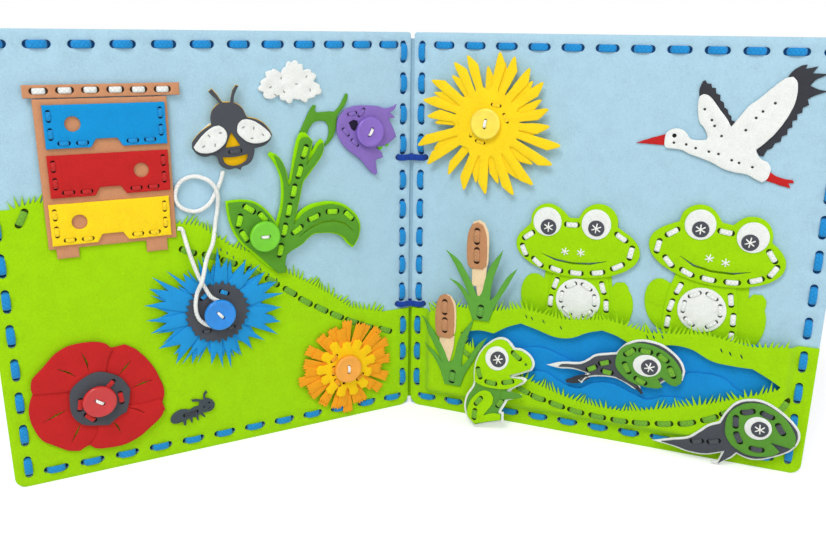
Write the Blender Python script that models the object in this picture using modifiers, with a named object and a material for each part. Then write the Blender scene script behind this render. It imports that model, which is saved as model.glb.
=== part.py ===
"""Felt quiet book opened at one spread: two laced felt pages joined by ties at the spine.

Left page: a meadow with a hive of three pocket drawers, flowers held by buttons and a bee on a cord.
Right page: a pond with frogs tucked in a pocket, a stork, reeds, a sun and loose swimming pieces.

Metres, +Z up. Each page has its own frame: x along the page, y up the page, z out of its front
face. Outlines are drawn on a chart of squares that covers a page, so their points are shares.
"""

import math
import random

import bmesh
import bpy
from mathutils import Matrix, Vector

# Page
page_width = 0.200
page_height = 0.200
page_corner_radius = 0.005
page_felt = 0.0020
page_turn_deg = 25.0
spine_gap = 0.0015
fold_rise = 0.0015
gap = 0.0003
chart_squares_share = 200

# Modelling tolerances
weld_distance = 0.00001
cut_tolerance = 0.000001

# Felt of everything laid on the pages
felt = 0.0009

# Lacing round the pages
lace_width = 0.0030
lace_thickness = 0.0010
lace_inset = 0.0060
lace_reach = 0.0043
lace_hole_along = 0.0032
lace_hole_across = 0.0036
lace_hole_shift = 0.0005
stitch_pitch = 0.0157
first_stitch = 0.0095
last_stitch = 0.0175
top_stitch_at_spine = 0.0150
top_stitch_at_corner = 0.0105
last_spine_stitch = 0.0167
spine_pitch = 0.0152
spine_tie_extra = 0.0033
upper_row_share = 4 / 12
lower_row_share = 3 / 12

# Ties at the spine
tie_width = 0.0030
tie_thickness = 0.0010
tie_reach = 0.0096
tie_hole_along = 0.0030

# Grass below the lower tie, and the right page's meadow: flat where laced, raised over the pond
grass_below_tie = 0.00235
meadow_flat = 0.0083
meadow_slope = 0.0044

# Buttons
button_radius = 0.0075
button_thickness = 0.0026
button_rim = 0.0012
button_dish = 0.0008
button_edge = 0.0006
button_hole_radius = 0.0009
button_hole_spread = 0.0022
button_hole_sides = 8
button_sides = 20
thread_turns_deg = {
    "poppy": -35, "cornflower": -50, "marigold": 90, "bellflower": 60, "plant": 0, "sun": 80,
}
shank_radius = 0.0012
shank_clearance = 0.0006

# Flowers
poppy_radius = 0.0295
poppy_centre_radius = 0.0135
cornflower_radius = 0.0320
cornflower_centre_radius = 0.0150
marigold_radius = 0.0260
marigold_centre_radius = 0.0150
sun_radius = 0.0365
sun_centre_radius = 0.0170
bellflower_width = 0.0326

# Hive
hive_width = 0.0540
roof_width = 0.0630
roof_height = 0.0053
upper_drawer_width = 0.0494
middle_drawer_width = 0.0495
lower_drawer_width = 0.0500
drawer_height = 0.0180
drawer_hole_radius = 0.0032
drawer_notch_width = 0.0130
drawer_notch_depth = 0.0035

# Other appliques
cloud_width = 0.0303
ant_length = 0.0260
plant_width = 0.0690
plant_rim = 0.0010
bell_stem_width = 0.0260
bee_body_width = 0.0190
bee_wing_span = 0.0370
stork_span = 0.0570
stork_beak_length = 0.0125
stork_leg_length = 0.0210
cattail_head_width = 0.0112
cattail_leaf_width = 0.0378
frog_head_width = 0.0606
frog_body_width = 0.0527
frog_belly_radius = 0.0100
tadpole_length = 0.0670
tadpole_rim = 0.0010
front_tadpole_length = 0.0653
froglet_width = 0.0353
froglet_lean_deg = 11.6
froglet_stand = 0.0150
pond_width = 0.1730

# Grass blades
blade_height = 0.0042
blade_pitch = 0.0050

# Bee's cord
cord_diameter = 0.0020
cord_point_count = 50

palette = {
    "sky": (176, 210, 228), "lime": (163, 218, 0), "lace_blue": (20, 140, 205),
    "tie_blue": (8, 60, 156), "tan": (205, 145, 105), "blue": (10, 145, 215),
    "red": (195, 35, 35), "yellow": (255, 215, 30), "grey": (75, 78, 84),
    "amber": (245, 180, 0), "white": (235, 237, 235), "green": (110, 165, 65),
    "purple": (138, 112, 190), "orange": (245, 160, 25), "cream": (240, 210, 170),
    "pond": (15, 135, 210), "lilac": (165, 140, 210), "leaf": (90, 155, 60),
}

# Outlines, in squares of the page chart
grass_line_shares = [
    (0, 127.5), (12, 127.5), (22, 130), (50, 122), (80, 115), (90, 113), (95, 109), (105, 101),
    (115, 97), (125, 88), (135, 83), (145, 77), (155, 70), (165, 62), (184, 54), (200, 54),
]
meadow_line_shares = [
    (0, 54), (13, 54), (20, 62), (45, 62), (62, 66), (85, 63), (105, 66), (125, 62), (150, 65), (172, 62),
    (187, 64.5), (200, 64.5),
]
window_top_shares = [
    (30, 48.5), (40, 51), (48, 50.5), (55, 55), (62, 58), (70, 56), (80, 53.3), (88, 54), (96, 58),
    (103, 60.3), (110, 58.5), (118, 55), (126, 54), (135, 57.5), (145, 57), (155, 52.5), (165, 51.5),
    (173, 51.5), (180, 48), (186, 44.5),
]
window_foot_shares = [
    (186, 43), (175, 38), (165, 34), (155, 30), (145, 27), (135, 24), (125, 21), (115, 19), (105, 19),
    (95, 20), (85, 22), (75, 25), (65, 28), (50, 34), (40, 39), (30, 43),
]
pond_top_shares = [(14, 62), (187, 62)]
middle_wave_shares = [
    (14, 38), (40, 38), (50, 40), (60, 43), (73, 45.5), (85, 42), (96, 38), (110, 37), (125, 40),
    (140, 42.5), (150, 44.5), (160, 44), (170, 38), (187, 36),
]
front_wave_shares = [
    (14, 30), (40, 30), (55, 30), (64, 31.5), (75, 33), (85, 28.5), (93, 27), (101, 31.5), (110, 32.5),
    (120, 29), (127, 27), (135, 30), (145, 30.5), (152, 29), (165, 31), (187, 33),
]
pond_foot_share = 13.5
pond_middle_share = 100.5
pond_across_share = 173

hive_shares = {
    "middle": (52, 140.5), "across": 54,
    "outline": [
        (25, 109), (28, 109), (28, 104.7), (37, 104.7), (37, 109), (65.5, 109), (65.5, 103.7),
        (74.7, 103.7), (74.7, 109), (79, 109), (79, 172.3), (25, 172.3),
    ],
}
roof_middle_shares = (53.2, 175.4)
upper_drawer_shares = {"middle": (53, 161), "hole": (39.5, 162), "notch": 52.5}
middle_drawer_shares = {"middle": (52.8, 140.3), "hole": (65.7, 141), "notch": 52.3}
lower_drawer_shares = {"middle": (51.6, 119.7), "hole": (38.3, 120.4), "notch": 51.5}

cloud_shares = {
    "middle": (136.5, 177), "across": 30.3,
    "discs": [
        (124, 175, 2.8), (128.5, 178.5, 4.5), (138, 181.5, 5), (144.5, 178.5, 4.2), (148.3, 173.7, 3.2),
        (143, 172, 4), (135, 171.7, 3.8), (127, 172.5, 3.5), (136, 176, 7),
    ],
}
ant_shares = {
    "middle": (78, 20.5), "across": 26,
    "outline": [
        (65, 17), (68, 15), (74, 14.8), (77, 16), (76.6, 13), (78, 13), (79, 17.4), (81.5, 18), (82.6, 14),
        (84, 14), (83.8, 18.6), (86, 19.8), (89, 19.8), (91, 22.5), (90.5, 26), (88.5, 27.4), (88, 30.5),
        (87, 30.3), (86.6, 27.2), (84.6, 25.6), (81, 28), (80.2, 27.3), (83, 24.3), (80, 23.2),
        (76, 24.4), (70, 23.4), (66, 20.6),
    ],
}
plant_shares = {
    "middle": (135, 118), "across": 69,
    "outline": [
        (125.5, 89.5), (123, 89), (115, 97), (108, 104), (104, 112), (102, 124), (115, 123.5), (122, 118),
        (126, 111), (127, 107), (129, 116), (131, 126), (127, 133), (124.5, 144), (130, 140), (134, 135),
        (137, 146), (139, 153), (144, 153), (142, 142), (144, 143), (150.5, 149), (149, 141), (140, 132),
        (137.5, 124), (134, 110), (140, 113.5), (150, 119), (160, 118.5), (168, 112), (170.7, 102),
        (167, 94.5), (163, 100), (155, 104.5), (145, 103.5), (137, 99), (131, 89.5),
    ],
}
bell_stem_shares = {
    "middle": (151.8, 160.5), "across": 26,
    "outline": [
        (139.4, 153.8), (144.4, 153.8), (149, 158), (158, 160), (155, 154), (153.5, 147.5), (157, 147.5),
        (161, 154), (164.5, 162), (164.8, 170.5), (160, 166.5), (152, 164.5), (150, 166.5), (148, 165.5),
        (145.5, 162), (142, 158),
    ],
}
bellflower_shares = {
    "middle": (175.3, 149), "across": 32.6,
    "outline": [
        (191.3, 165), (183, 164.8), (172, 165.6), (163, 162), (159, 154), (159.6, 144), (164, 136),
        (172, 131.5), (180, 131), (181.5, 135), (183.5, 139.5), (186, 145), (191.4, 150), (189, 155),
        (190.7, 160),
    ],
}
bee_shares = {
    "middle": (106.7, 155), "across": 19,
    "discs": [(105.5, 163.5, 8), (107.5, 147.5, 9.5), (106.5, 156, 6)],
    "feelers": [(97.3, 173.8), (110.2, 176.5)],
    "triangle": [(106.5, 155.5), (103.7, 148.5), (110, 148.5)],
    "smile": [(101.7, 144.7), (114.3, 144.7), (111.5, 141), (107.5, 139.9), (104, 141)],
}
wing_shares = {
    "middle": (107, 153.5), "across": 37,
    "outline": [
        (88.5, 148.5), (91, 146.5), (97, 147.5), (103, 151), (107, 152), (112, 150.5), (118, 151),
        (124, 153), (125.5, 155.5), (122, 159.5), (116, 160), (110, 158.5), (106, 157.5), (102, 160),
        (97, 160.5), (91.5, 155.5),
    ],
}
poppy_shares = {"middle": (38.5, 37.3), "notches_deg": (165, 68, -13, -105)}
cornflower_shares = {"middle": (95.3, 71)}
marigold_shares = {"middle": (161.7, 30)}
sun_shares = {"middle": (39.6, 157.7)}
bell_button_shares = (176, 152.5)
plant_button_shares = (119.5, 106)

stork_shares = {
    "middle": (152, 160), "across": 57,
    "outline": [
        (123.5, 152.6), (127, 151.4), (132, 152), (140, 149), (150, 142.5), (160, 139.5), (168, 139),
        (172, 142.5), (170, 146.5), (160, 152), (165, 163), (173, 176), (178, 186), (172, 184.5),
        (160, 175),
        (152, 163.5), (148, 160.5), (144, 168), (137.5, 180), (138.5, 170), (142.5, 158.5), (133, 158),
        (128, 160.6), (124, 158.5),
    ],
}
stork_feather_shares = {
    "middle": (152, 160), "across": 57,
    "outline": [
        (160.6, 152.1), (166, 150), (172, 156), (180, 168), (185.5, 178), (187, 187), (178.8, 186.2),
        (173.8, 175.8), (165.8, 162.8),
    ],
}
stork_beak_shares = {
    "middle": (117, 154), "across": 12.5,
    "outline": [(110.8, 151.2), (123, 153.1), (123.2, 156.8), (117, 154.6)],
}
stork_leg_shares = {
    "middle": (178, 138), "across": 21,
    "outline": [
        (168.4, 138.6), (176, 136.6), (186, 133), (188, 134), (179, 138.3), (188, 137), (188.4, 138.4),
        (179, 140.4), (172.2, 142),
    ],
}
upper_cattail_shares = {
    "middle": (38.6, 75.2), "across": 37.8,
    "leaves": [
        (32, 56.5), (46, 56.5), (51, 67), (57.5, 85.5), (48, 74), (49.5, 94.5), (43.5, 80), (41.4, 74.4),
        (35.6, 74.4), (32, 75), (19.7, 90.5), (24, 76), (21, 76), (27, 66),
    ],
    "head": [
        (35.2, 74.7), (41.6, 74.7), (41.8, 84.4), (43.3, 86.5), (43.6, 92), (43.2, 103),
        (41, 108.3), (38, 109.6),
        (35, 108.3), (32.8, 103), (32.4, 92), (32.8, 86.5), (35, 84.4),
    ],
}
lower_cattail_shares = {
    "middle": (22, 35), "across": 37.8,
    "leaves": [
        (17, 17.5), (32, 17.5), (36, 30), (39, 44.5), (32.5, 38), (30, 46), (27, 38), (25.2, 33.6),
        (17.6, 33.6), (12, 38), (5, 49.5), (8, 41), (7, 40.5), (12, 28),
    ],
    "head": [
        (17.9, 33.9), (24.9, 33.9), (25.2, 44.8), (27.2, 47), (27.6, 53), (27, 64), (24.5, 68.3),
        (21.6, 69.3),
        (18.6, 68.3), (16.2, 64), (15.7, 53), (16.1, 47), (18, 44.8),
    ],
}
left_frog_shares = {
    "middle": (87, 99.5), "tilt_deg": 0.0, "belly": (89.3, 73),
    "eyes": [(-14.5, 12, 9), (9.8, 13.5, 9.3)],
}
right_frog_shares = {
    "middle": (151, 103.5), "tilt_deg": -6.0, "belly": (147.7, 75.7),
    "eyes": [(-9.8, 12.6, 9), (13.2, 11.4, 9)],
}
frog_head_reach_shares = (30.3, 15)
frog_head_across_share = 60.6
frog_body_across_share = 52.7
frog_body_shares = [
    (-16, -73), (16, -73), (17.5, -45), (18.5, -33), (20, -31), (23, -31), (26.3, -27),
    (26.3, -18), (24, -15),
    (20, -15.5), (18.5, -18), (17, -8), (-14.5, -8), (-15.5, -18), (-16.5, -18.5),
    (-21, -17.5), (-24.5, -19.5), (-26.3, -25), (-25, -30), (-20, -31.5), (-16.5, -31.5), (-16, -45),
]
tadpole_shares = {
    "middle": (111, 45), "across": 67,
    "outline": [
        (76.8, 38.2), (84.3, 40.9), (93.5, 42.4), (97.1, 44.6), (100.7, 47.6), (107.3, 49.5), (110.9, 50.3),
        (112.5, 52.8), (115.5, 56), (121.1, 58.6), (126.1, 58.9), (131.9, 57.8), (136.3, 55.4),
        (140.9, 51.4), (143.5, 46.3), (143, 40.8), (139.5, 38.4), (134.7, 38.9), (131.7, 36.2),
        (126.6, 36.3), (122.2, 37.5), (124, 33.4), (121.1, 32.5), (112, 36.5), (103, 36.2), (97.8, 34.5),
        (95, 31.1), (91.7, 33.4), (97.6, 36.9), (90.7, 38), (82.9, 37.4),
    ],
}
front_tadpole_shares = {
    "middle": (164.5, 20), "across": 65.3,
    "outline": [
        (131.9, 6.9), (140.8, 10), (148.2, 12.4), (152.8, 16.5), (156.8, 20.5), (161.4, 22.9),
        (163.7, 28.4),
        (166.6, 32.9), (169.6, 35.5), (174.2, 37), (178.8, 37.1), (183.7, 35.5), (189.1, 32.2),
        (194.2, 27.8), (196.8, 23.9), (197.1, 19.5), (195, 14.9), (191.7, 11.9), (186, 8.5),
        (180.6, 6.4), (175.9, 6.2), (171.1, 7.7), (168.8, 4.9), (164.7, 1.9), (164, 0.2), (160.9, 0.4),
        (159.8, 1.3), (163.1, 2.7), (164.4, 7.1), (157.5, 4.4), (149.5, 4.1), (142.3, 5.6), (136, 6.4),
    ],
}
froglet_shares = {
    "middle": (53.1, 24), "across": 35.3, "foot": -1.1,
    "outline": [
        (51.7, 48.4), (55, 48.1), (57.9, 46.1), (59.7, 44), (63.4, 44), (67.3, 42.2), (70, 39.4),
        (70.8, 36.4),
        (69.7, 33.5), (65.1, 31.2), (60.5, 28.8), (65.8, 29.4), (67.8, 28.4), (66.1, 26), (61.6, 23),
        (59.3, 20.8), (65.6, 20.2), (65.2, 18.8), (58.7, 16), (57.1, 12.5), (55.7, 9.5), (57.1, 9.5),
        (57.5, 4.1), (49.2, 1.7), (42.1, -1.1), (39.4, 1.5), (36.8, 4.9), (35.5, 9.7), (36.2, 15.3),
        (39.1, 20.8), (39.5, 23.1), (39, 28.5), (39.6, 34.6), (41.9, 40.4), (44.9, 44.1), (48.5, 47.1),
    ],
    "front": [
        (51.7, 47.4), (54.7, 47.1), (57, 45.3), (59.2, 43), (63.2, 43), (66.8, 41.4), (69.1, 39),
        (69.8, 36.4),
        (68.9, 34.3), (64.8, 32.2), (58.8, 29.7), (59, 28.3), (65.2, 28.3), (66.2, 27.6), (65, 26.6),
        (60.9, 23.9), (58, 21.4), (58.2, 19.9), (64.4, 19.5), (64.2, 18.9), (57.7, 16.5), (56.1, 12.9),
        (54.5, 9.6), (54.8, 8.6), (56.2, 8.5), (56.4, 5), (49, 2.7), (42.4, 0.2), (40.2, 2.1), (37.8, 5.3),
        (36.5, 9.9), (37.2, 15), (40.1, 20.5), (40.5, 23.2), (40, 28.6), (40.6, 34.3), (42.8, 39.8),
        (45.6, 43.3), (48.9, 46.1),
    ],
}

# Route of the bee's cord: chart squares along the page, and the height of its middle in metres
cord_route_shares = [
    (102.2, 137.6, 0), (101, 133.5, 0), (98, 127.5, 0), (94.5, 122.5, 0), (88.5, 120, 0), (82, 122.5, 0),
    (79.8, 128, 0), (82.5, 134, 0), (88.8, 136.2, 0), (95, 134, 1), (98.4, 128.5, 1), (98.8, 121, 0),
    (97.6, 115, 0), (96.4, 109.8, 2), (94.6, 104.8, 3), (91.5, 98, 3), (88, 89, 5), (85.6, 82, 4),
    (84.6, 75, 4),
    (86, 69.4, 4), (90, 65.8, 4), (95.2, 65.2, 4), (99.6, 68, 4), (100.1, 72.6, 4), (96.6, 76.2, 4),
    (92.2, 79.5, 4), (89.5, 84.5, 4), (87, 90.5, 3), (84.6, 98, 3), (83.1, 104, 3), (82.4, 109, 2),
    (81.6, 112.4, 2), (79.9, 113.1, 2),
]


def clear_scene():
    for thing in list(bpy.data.objects):
        bpy.data.objects.remove(thing, do_unlink=True)


def new_collection(name):
    collection = bpy.data.collections.new(name)
    bpy.context.scene.collection.children.link(collection)
    return collection


def channel(value):
    share = value / 255
    if share <= 0.04045:
        return share / 12.92
    return ((share + 0.055) / 1.055) ** 2.4


def finish(thing, colour_name, roughness=0.95):
    material = bpy.data.materials.new(thing.name + "_finish")
    material.use_nodes = True
    shader = material.node_tree.nodes["Principled BSDF"]
    shader.inputs["Base Color"].default_value = (*[channel(v) for v in palette[colour_name]], 1)
    shader.inputs["Roughness"].default_value = roughness
    shader.inputs["Metallic"].default_value = 0
    thing.data.materials.clear()
    thing.data.materials.append(material)
    return thing


def empty(name, parent, location=(0, 0, 0), rotation=(0, 0, 0)):
    holder = bpy.data.objects.new(name, None)
    book.objects.link(holder)
    holder.parent = parent
    holder.location = location
    holder.rotation_euler = rotation
    return holder


def page_frame(name, side, along):
    """Empty at a page's lower left corner; the front face lies fold_rise behind the fold's axis."""
    turn = math.radians(page_turn_deg)
    x = side * (along * math.cos(turn) + fold_rise * math.sin(turn))
    y = fold_rise * math.cos(turn) - along * math.sin(turn)
    return empty(name, whole, (x, y, 0), (math.radians(90), 0, -side * turn))


def spot(shares):
    """Place on a page, in metres, of a point given in chart squares."""
    return (
        shares[0] * page_width / chart_squares_share,
        shares[1] * page_height / chart_squares_share,
    )


def drawn(points, middle, across, width, about=(0, 0)):
    """Outline in metres, measured from the point about, of chart points scaled to a real width."""
    scale = width / across
    centre = spot(middle)
    return [
        (centre[0] + (x - middle[0]) * scale - about[0], centre[1] + (y - middle[1]) * scale - about[1])
        for x, y in points
    ]


def motif(shares, width, key="outline", about=(0, 0)):
    return drawn(shares[key], shares["middle"], shares["across"], width, about)


def layer(count):
    """Height of the underside of applique layer number count above a page's front face."""
    return gap + count * (felt + gap)


def ring(radius, steps, middle=(0, 0), start_deg=0):
    turn = math.radians(start_deg)
    return [
        (
            middle[0] + radius * math.cos(turn + i * math.tau / steps),
            middle[1] + radius * math.sin(turn + i * math.tau / steps),
        )
        for i in range(steps)
    ]


def box_outline(middle, width, height):
    x, y = middle
    return [
        (x - width / 2, y - height / 2), (x + width / 2, y - height / 2),
        (x + width / 2, y + height / 2), (x - width / 2, y + height / 2),
    ]


def rounded_box(width, height, radius, steps=3):
    corners = [
        ((width - radius, radius), -90), ((width - radius, height - radius), 0),
        ((radius, height - radius), 90), ((radius, radius), 180),
    ]
    points = []
    for middle, start_deg in corners:
        for i in range(steps + 1):
            angle = math.radians(start_deg + 90 * i / steps)
            points.append((middle[0] + radius * math.cos(angle), middle[1] + radius * math.sin(angle)))
    return points


def around_discs(middle, discs, steps):
    """Outline of overlapping discs, seen from a point inside them all."""
    points = []
    for i in range(steps):
        angle = i * math.tau / steps
        way = Vector((math.cos(angle), math.sin(angle)))
        reach = 0
        for x, y, across, up in discs:
            near = Vector(((x - middle[0]) / across, (y - middle[1]) / up))
            ray = Vector((way.x / across, way.y / up))
            half = near.dot(ray) / ray.dot(ray)
            inside = half * half - (near.dot(near) - 1) / ray.dot(ray)
            if inside > 0:
                reach = max(reach, half + math.sqrt(inside))
        points.append((middle[0] + way.x * reach, middle[1] + way.y * reach))
    return points


def with_feelers(points, middle, tips, base_share):
    """Adds a thin spike that runs from the outline to each tip."""
    marked = [(math.atan2(y - middle[1], x - middle[0]), (x, y)) for x, y in points]
    for tip in tips:
        angle = math.atan2(tip[1] - middle[1], tip[0] - middle[0])
        marked = [entry for entry in marked if abs(entry[0] - angle) > base_share]
        root = min(marked, key=lambda entry: abs(entry[0] - angle))[1]
        reach = math.dist(root, middle)
        for side in (-base_share, base_share):
            corner = (
                middle[0] + reach * math.cos(angle + side),
                middle[1] + reach * math.sin(angle + side),
            )
            marked.append((angle + side, corner))
        marked.append((angle, tip))
    return [point for _, point in sorted(marked)]


def inset(points, distance):
    """Outline drawn in by a rim; where the piece is too thin for the rim, its corners are left out."""
    count = len(points)
    area = sum(
        points[i][0] * points[(i + 1) % count][1] - points[(i + 1) % count][0] * points[i][1]
        for i in range(count)
    )
    side = math.copysign(1, area)
    moved = []
    for i in range(count):
        before = (Vector(points[i]) - Vector(points[i - 1])).normalized()
        after = (Vector(points[(i + 1) % count]) - Vector(points[i])).normalized()
        across = Vector((-before.y - after.y, before.x + after.x)) * side
        across = across.normalized() if across.length > 0 else Vector((-before.y, before.x)) * side
        square = Vector((-before.y, before.x)) * side
        corner = Vector(points[i]) + across * distance / max(across.dot(square), 0.5)
        if edge_distance(corner, points) > 0.8 * distance:
            moved.append(tuple(corner))
    return moved


def edge_distance(point, points):
    """Distance of a point from the nearest side of an outline, negative outside it."""
    nearest, inside = math.inf, False
    for start, end in zip(points, [*points[1:], points[0]]):
        start, end = Vector(start), Vector(end)
        along = end - start
        share = min(max((point - start).dot(along) / along.length_squared, 0), 1)
        nearest = min(nearest, (point - start - along * share).length)
        if (start.y > point.y) != (end.y > point.y):
            if point.x < start.x + along.x * (point.y - start.y) / along.y:
                inside = not inside
    return nearest if inside else -nearest


def grassy(points, seed):
    """Top edge of a grass sheet, with a blade at each pitch but on the laced strips at its two ends."""
    chance = random.Random(seed)
    edge = [points[0], points[1]]
    for start, end in zip(points[1:-2], points[2:-1]):
        start, end = Vector(start), Vector(end)
        blades = max(1, round((end - start).length / blade_pitch))
        for i in range(blades):
            foot = start.lerp(end, (i + 0.35) / blades)
            lean = chance.uniform(-0.35, 0.35)
            height = blade_height * chance.uniform(0.45, 1)
            edge.append((foot.x + lean * height, foot.y + height))
            valley = start.lerp(end, (i + 0.85) / blades)
            edge.append((valley.x, valley.y))
    return edge + [points[-2], points[-1]]


def felt_piece(name, outline, height, colour_name, parent, holes=(), thickness=None, place=(0, 0)):
    """Flat piece cut from felt: an outline with its holes, lying at a height above the page."""
    thickness = felt if thickness is None else thickness
    curve = bpy.data.curves.new(name, "CURVE")
    curve.dimensions = "2D"
    curve.fill_mode = "BOTH"
    curve.extrude = thickness / 2
    for loop in [outline, *holes]:
        spline = curve.splines.new("POLY")
        spline.points.add(len(loop) - 1)
        for point, (x, y) in zip(spline.points, loop):
            point.co = (x, y, 0, 1)
        spline.use_cyclic_u = True
    piece = bpy.data.objects.new(name, curve)
    book.objects.link(piece)
    piece.parent = parent
    piece.location = (place[0], place[1], height + thickness / 2)
    return finish(piece, colour_name)


def as_mesh(thing):
    """Mesh object with the evaluated shape of a curve or modified object, caps welded."""
    bpy.context.view_layer.update()
    evaluated = thing.evaluated_get(bpy.context.evaluated_depsgraph_get())
    mesh = bpy.data.meshes.new_from_object(evaluated)
    shape = bmesh.new()
    shape.from_mesh(mesh)
    bmesh.ops.remove_doubles(shape, verts=shape.verts, dist=weld_distance)
    shape.to_mesh(mesh)
    shape.free()
    name = thing.name
    material = thing.data.materials[0] if thing.data.materials else None
    solid = bpy.data.objects.new(name + "_solid", mesh)
    book.objects.link(solid)
    solid.parent = thing.parent
    solid.matrix_parent_inverse = thing.matrix_parent_inverse
    solid.matrix_basis = thing.matrix_basis
    bpy.data.objects.remove(thing, do_unlink=True)
    solid.name = name
    mesh.materials.clear()
    if material:
        mesh.materials.append(material)
    return solid


def combine(base, tool, operation):
    """Applies one Boolean and removes the tool."""
    modifier = base.modifiers.new(operation.lower(), "BOOLEAN")
    modifier.operation = operation
    modifier.object = tool
    bpy.context.view_layer.update()
    evaluated = base.evaluated_get(bpy.context.evaluated_depsgraph_get())
    mesh = bpy.data.meshes.new_from_object(evaluated)
    base.modifiers.clear()
    base.data = mesh
    bpy.data.objects.remove(tool, do_unlink=True)
    return base


def spine_rows():
    """Numbers of the first stitch below each tie, and the pitch of the stitches along the spine."""
    run = page_height - first_stitch - last_spine_stitch - 2 * spine_tie_extra
    steps = round(run / spine_pitch)
    count = steps + 1
    breaks = (round(count * upper_row_share), count - round(count * lower_row_share))
    return breaks, run / steps


def side_stitches(side):
    """Distances of the stitch middles along one side of a page, in the order they are laced."""
    if side == "spine":
        breaks, pitch = spine_rows()
        places = [page_height - first_stitch]
        while places[-1] - pitch > last_spine_stitch - pitch / 2:
            extra = spine_tie_extra if len(places) in breaks else 0
            places.append(places[-1] - pitch - extra)
        return places
    length = page_height if side == "outer" else page_width
    start, end = first_stitch, last_stitch
    if side == "top":
        start, end = top_stitch_at_spine, top_stitch_at_corner
    steps = round((length - start - end) / stitch_pitch)
    return [start + i * (length - start - end) / steps for i in range(steps + 1)]


def tie_heights():
    places = side_stitches("spine")
    return [(places[i - 1] + places[i]) / 2 for i in spine_rows()[0]]


def stitch_middles():
    """Middle and direction of each border stitch, as distance from the spine and height."""
    middles = []
    for side in ("foot", "outer", "top", "spine"):
        for place in side_stitches(side):
            if side == "foot":
                middles.append((side, (place, lace_inset), (1, 0)))
            elif side == "outer":
                middles.append((side, (page_width - lace_inset, place), (0, 1)))
            elif side == "top":
                middles.append((side, (place, page_height - lace_inset), (1, 0)))
            else:
                middles.append((side, (lace_inset, place), (0, 1)))
    return middles


def stitch_holes(left, keep=lambda middle: True):
    """Holes of the border stitches whose middle passes the test, in the page's own x and y."""
    holes = []
    for _, middle, way in stitch_middles():
        if not keep(middle):
            continue
        for end in (-1, 1):
            step = end * (lace_reach + lace_hole_shift)
            u, v = middle[0] + way[0] * step, middle[1] + way[1] * step
            x = page_width - u if left else u
            size = (lace_hole_along, lace_hole_across) if way[0] else (lace_hole_across, lace_hole_along)
            holes.append(box_outline((x, v), *size))
    return holes


def tie_holes(left):
    x = page_width - tie_reach if left else tie_reach
    return [box_outline((x, height), tie_hole_along, lace_hole_across) for height in tie_heights()]


def page_sheet(name, parent, left):
    holes = stitch_holes(left) + tie_holes(left)
    outline = rounded_box(page_width, page_height, page_corner_radius)
    felt_piece(name, outline, -page_felt, "sky", parent, holes, page_felt)


def lace_strip(name, side, parent, left, raised):
    """Lace of one side of the page: it humps over the front at each stitch and runs on at the back."""
    back = -page_felt - gap
    stitches = sorted(
        (m[1][0] if way_along(side) else m[1][1], raised(m[1])) for m in stitch_middles() if m[0] == side
    )
    length = page_width if way_along(side) else page_height
    start, end = lace_inset - lace_width / 2, length - lace_inset + lace_width / 2
    reach = lace_reach + lace_thickness / 2
    inner = lace_reach - lace_thickness / 2
    over, under = [(start, back)], [(start, back - lace_thickness)]
    for place, rise in stitches:
        top = rise + lace_thickness
        over += [
            (place - reach, back), (place - reach, top), (place + reach, top), (place + reach, back),
        ]
        under += [
            (place - inner, back - lace_thickness), (place - inner, rise),
            (place + inner, rise), (place + inner, back - lace_thickness),
        ]
    over.append((end, back))
    under.append((end, back - lace_thickness))
    outline = under + over[::-1]
    strip = felt_piece(name, outline, 0, "lace_blue", None, (), lace_width)
    strip.location = (0, 0, 0)
    strip = as_mesh(strip)
    if way_along(side):
        y = lace_inset if side == "foot" else page_height - lace_inset
        turn = Matrix(((1, 0, 0, 0), (0, 0, -1, y), (0, 1, 0, 0), (0, 0, 0, 1)))
    else:
        x = lace_inset if side == "spine" else page_width - lace_inset
        turn = Matrix(((0, 0, 1, x), (1, 0, 0, 0), (0, 1, 0, 0), (0, 0, 0, 1)))
    strip.data.transform(turn)
    if left:
        flip = Matrix.Translation((page_width, 0, 0)) @ Matrix.Diagonal((-1, 1, 1, 1))
        strip.data.transform(flip)
        strip.data.flip_normals()
    strip.parent = parent
    return strip


def way_along(side):
    return side in ("foot", "top")


def border_lace(name, parent, left, covered):
    """One lace all round a page, higher where a grass sheet is laced in."""
    def raised(middle):
        return felt + 2 * gap if covered(middle) else gap
    lace = lace_strip(name, "foot", parent, left, raised)
    for side in ("outer", "top", "spine"):
        lace = combine(lace, lace_strip(name + "_" + side, side, parent, left, raised), "UNION")
    return lace


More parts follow.
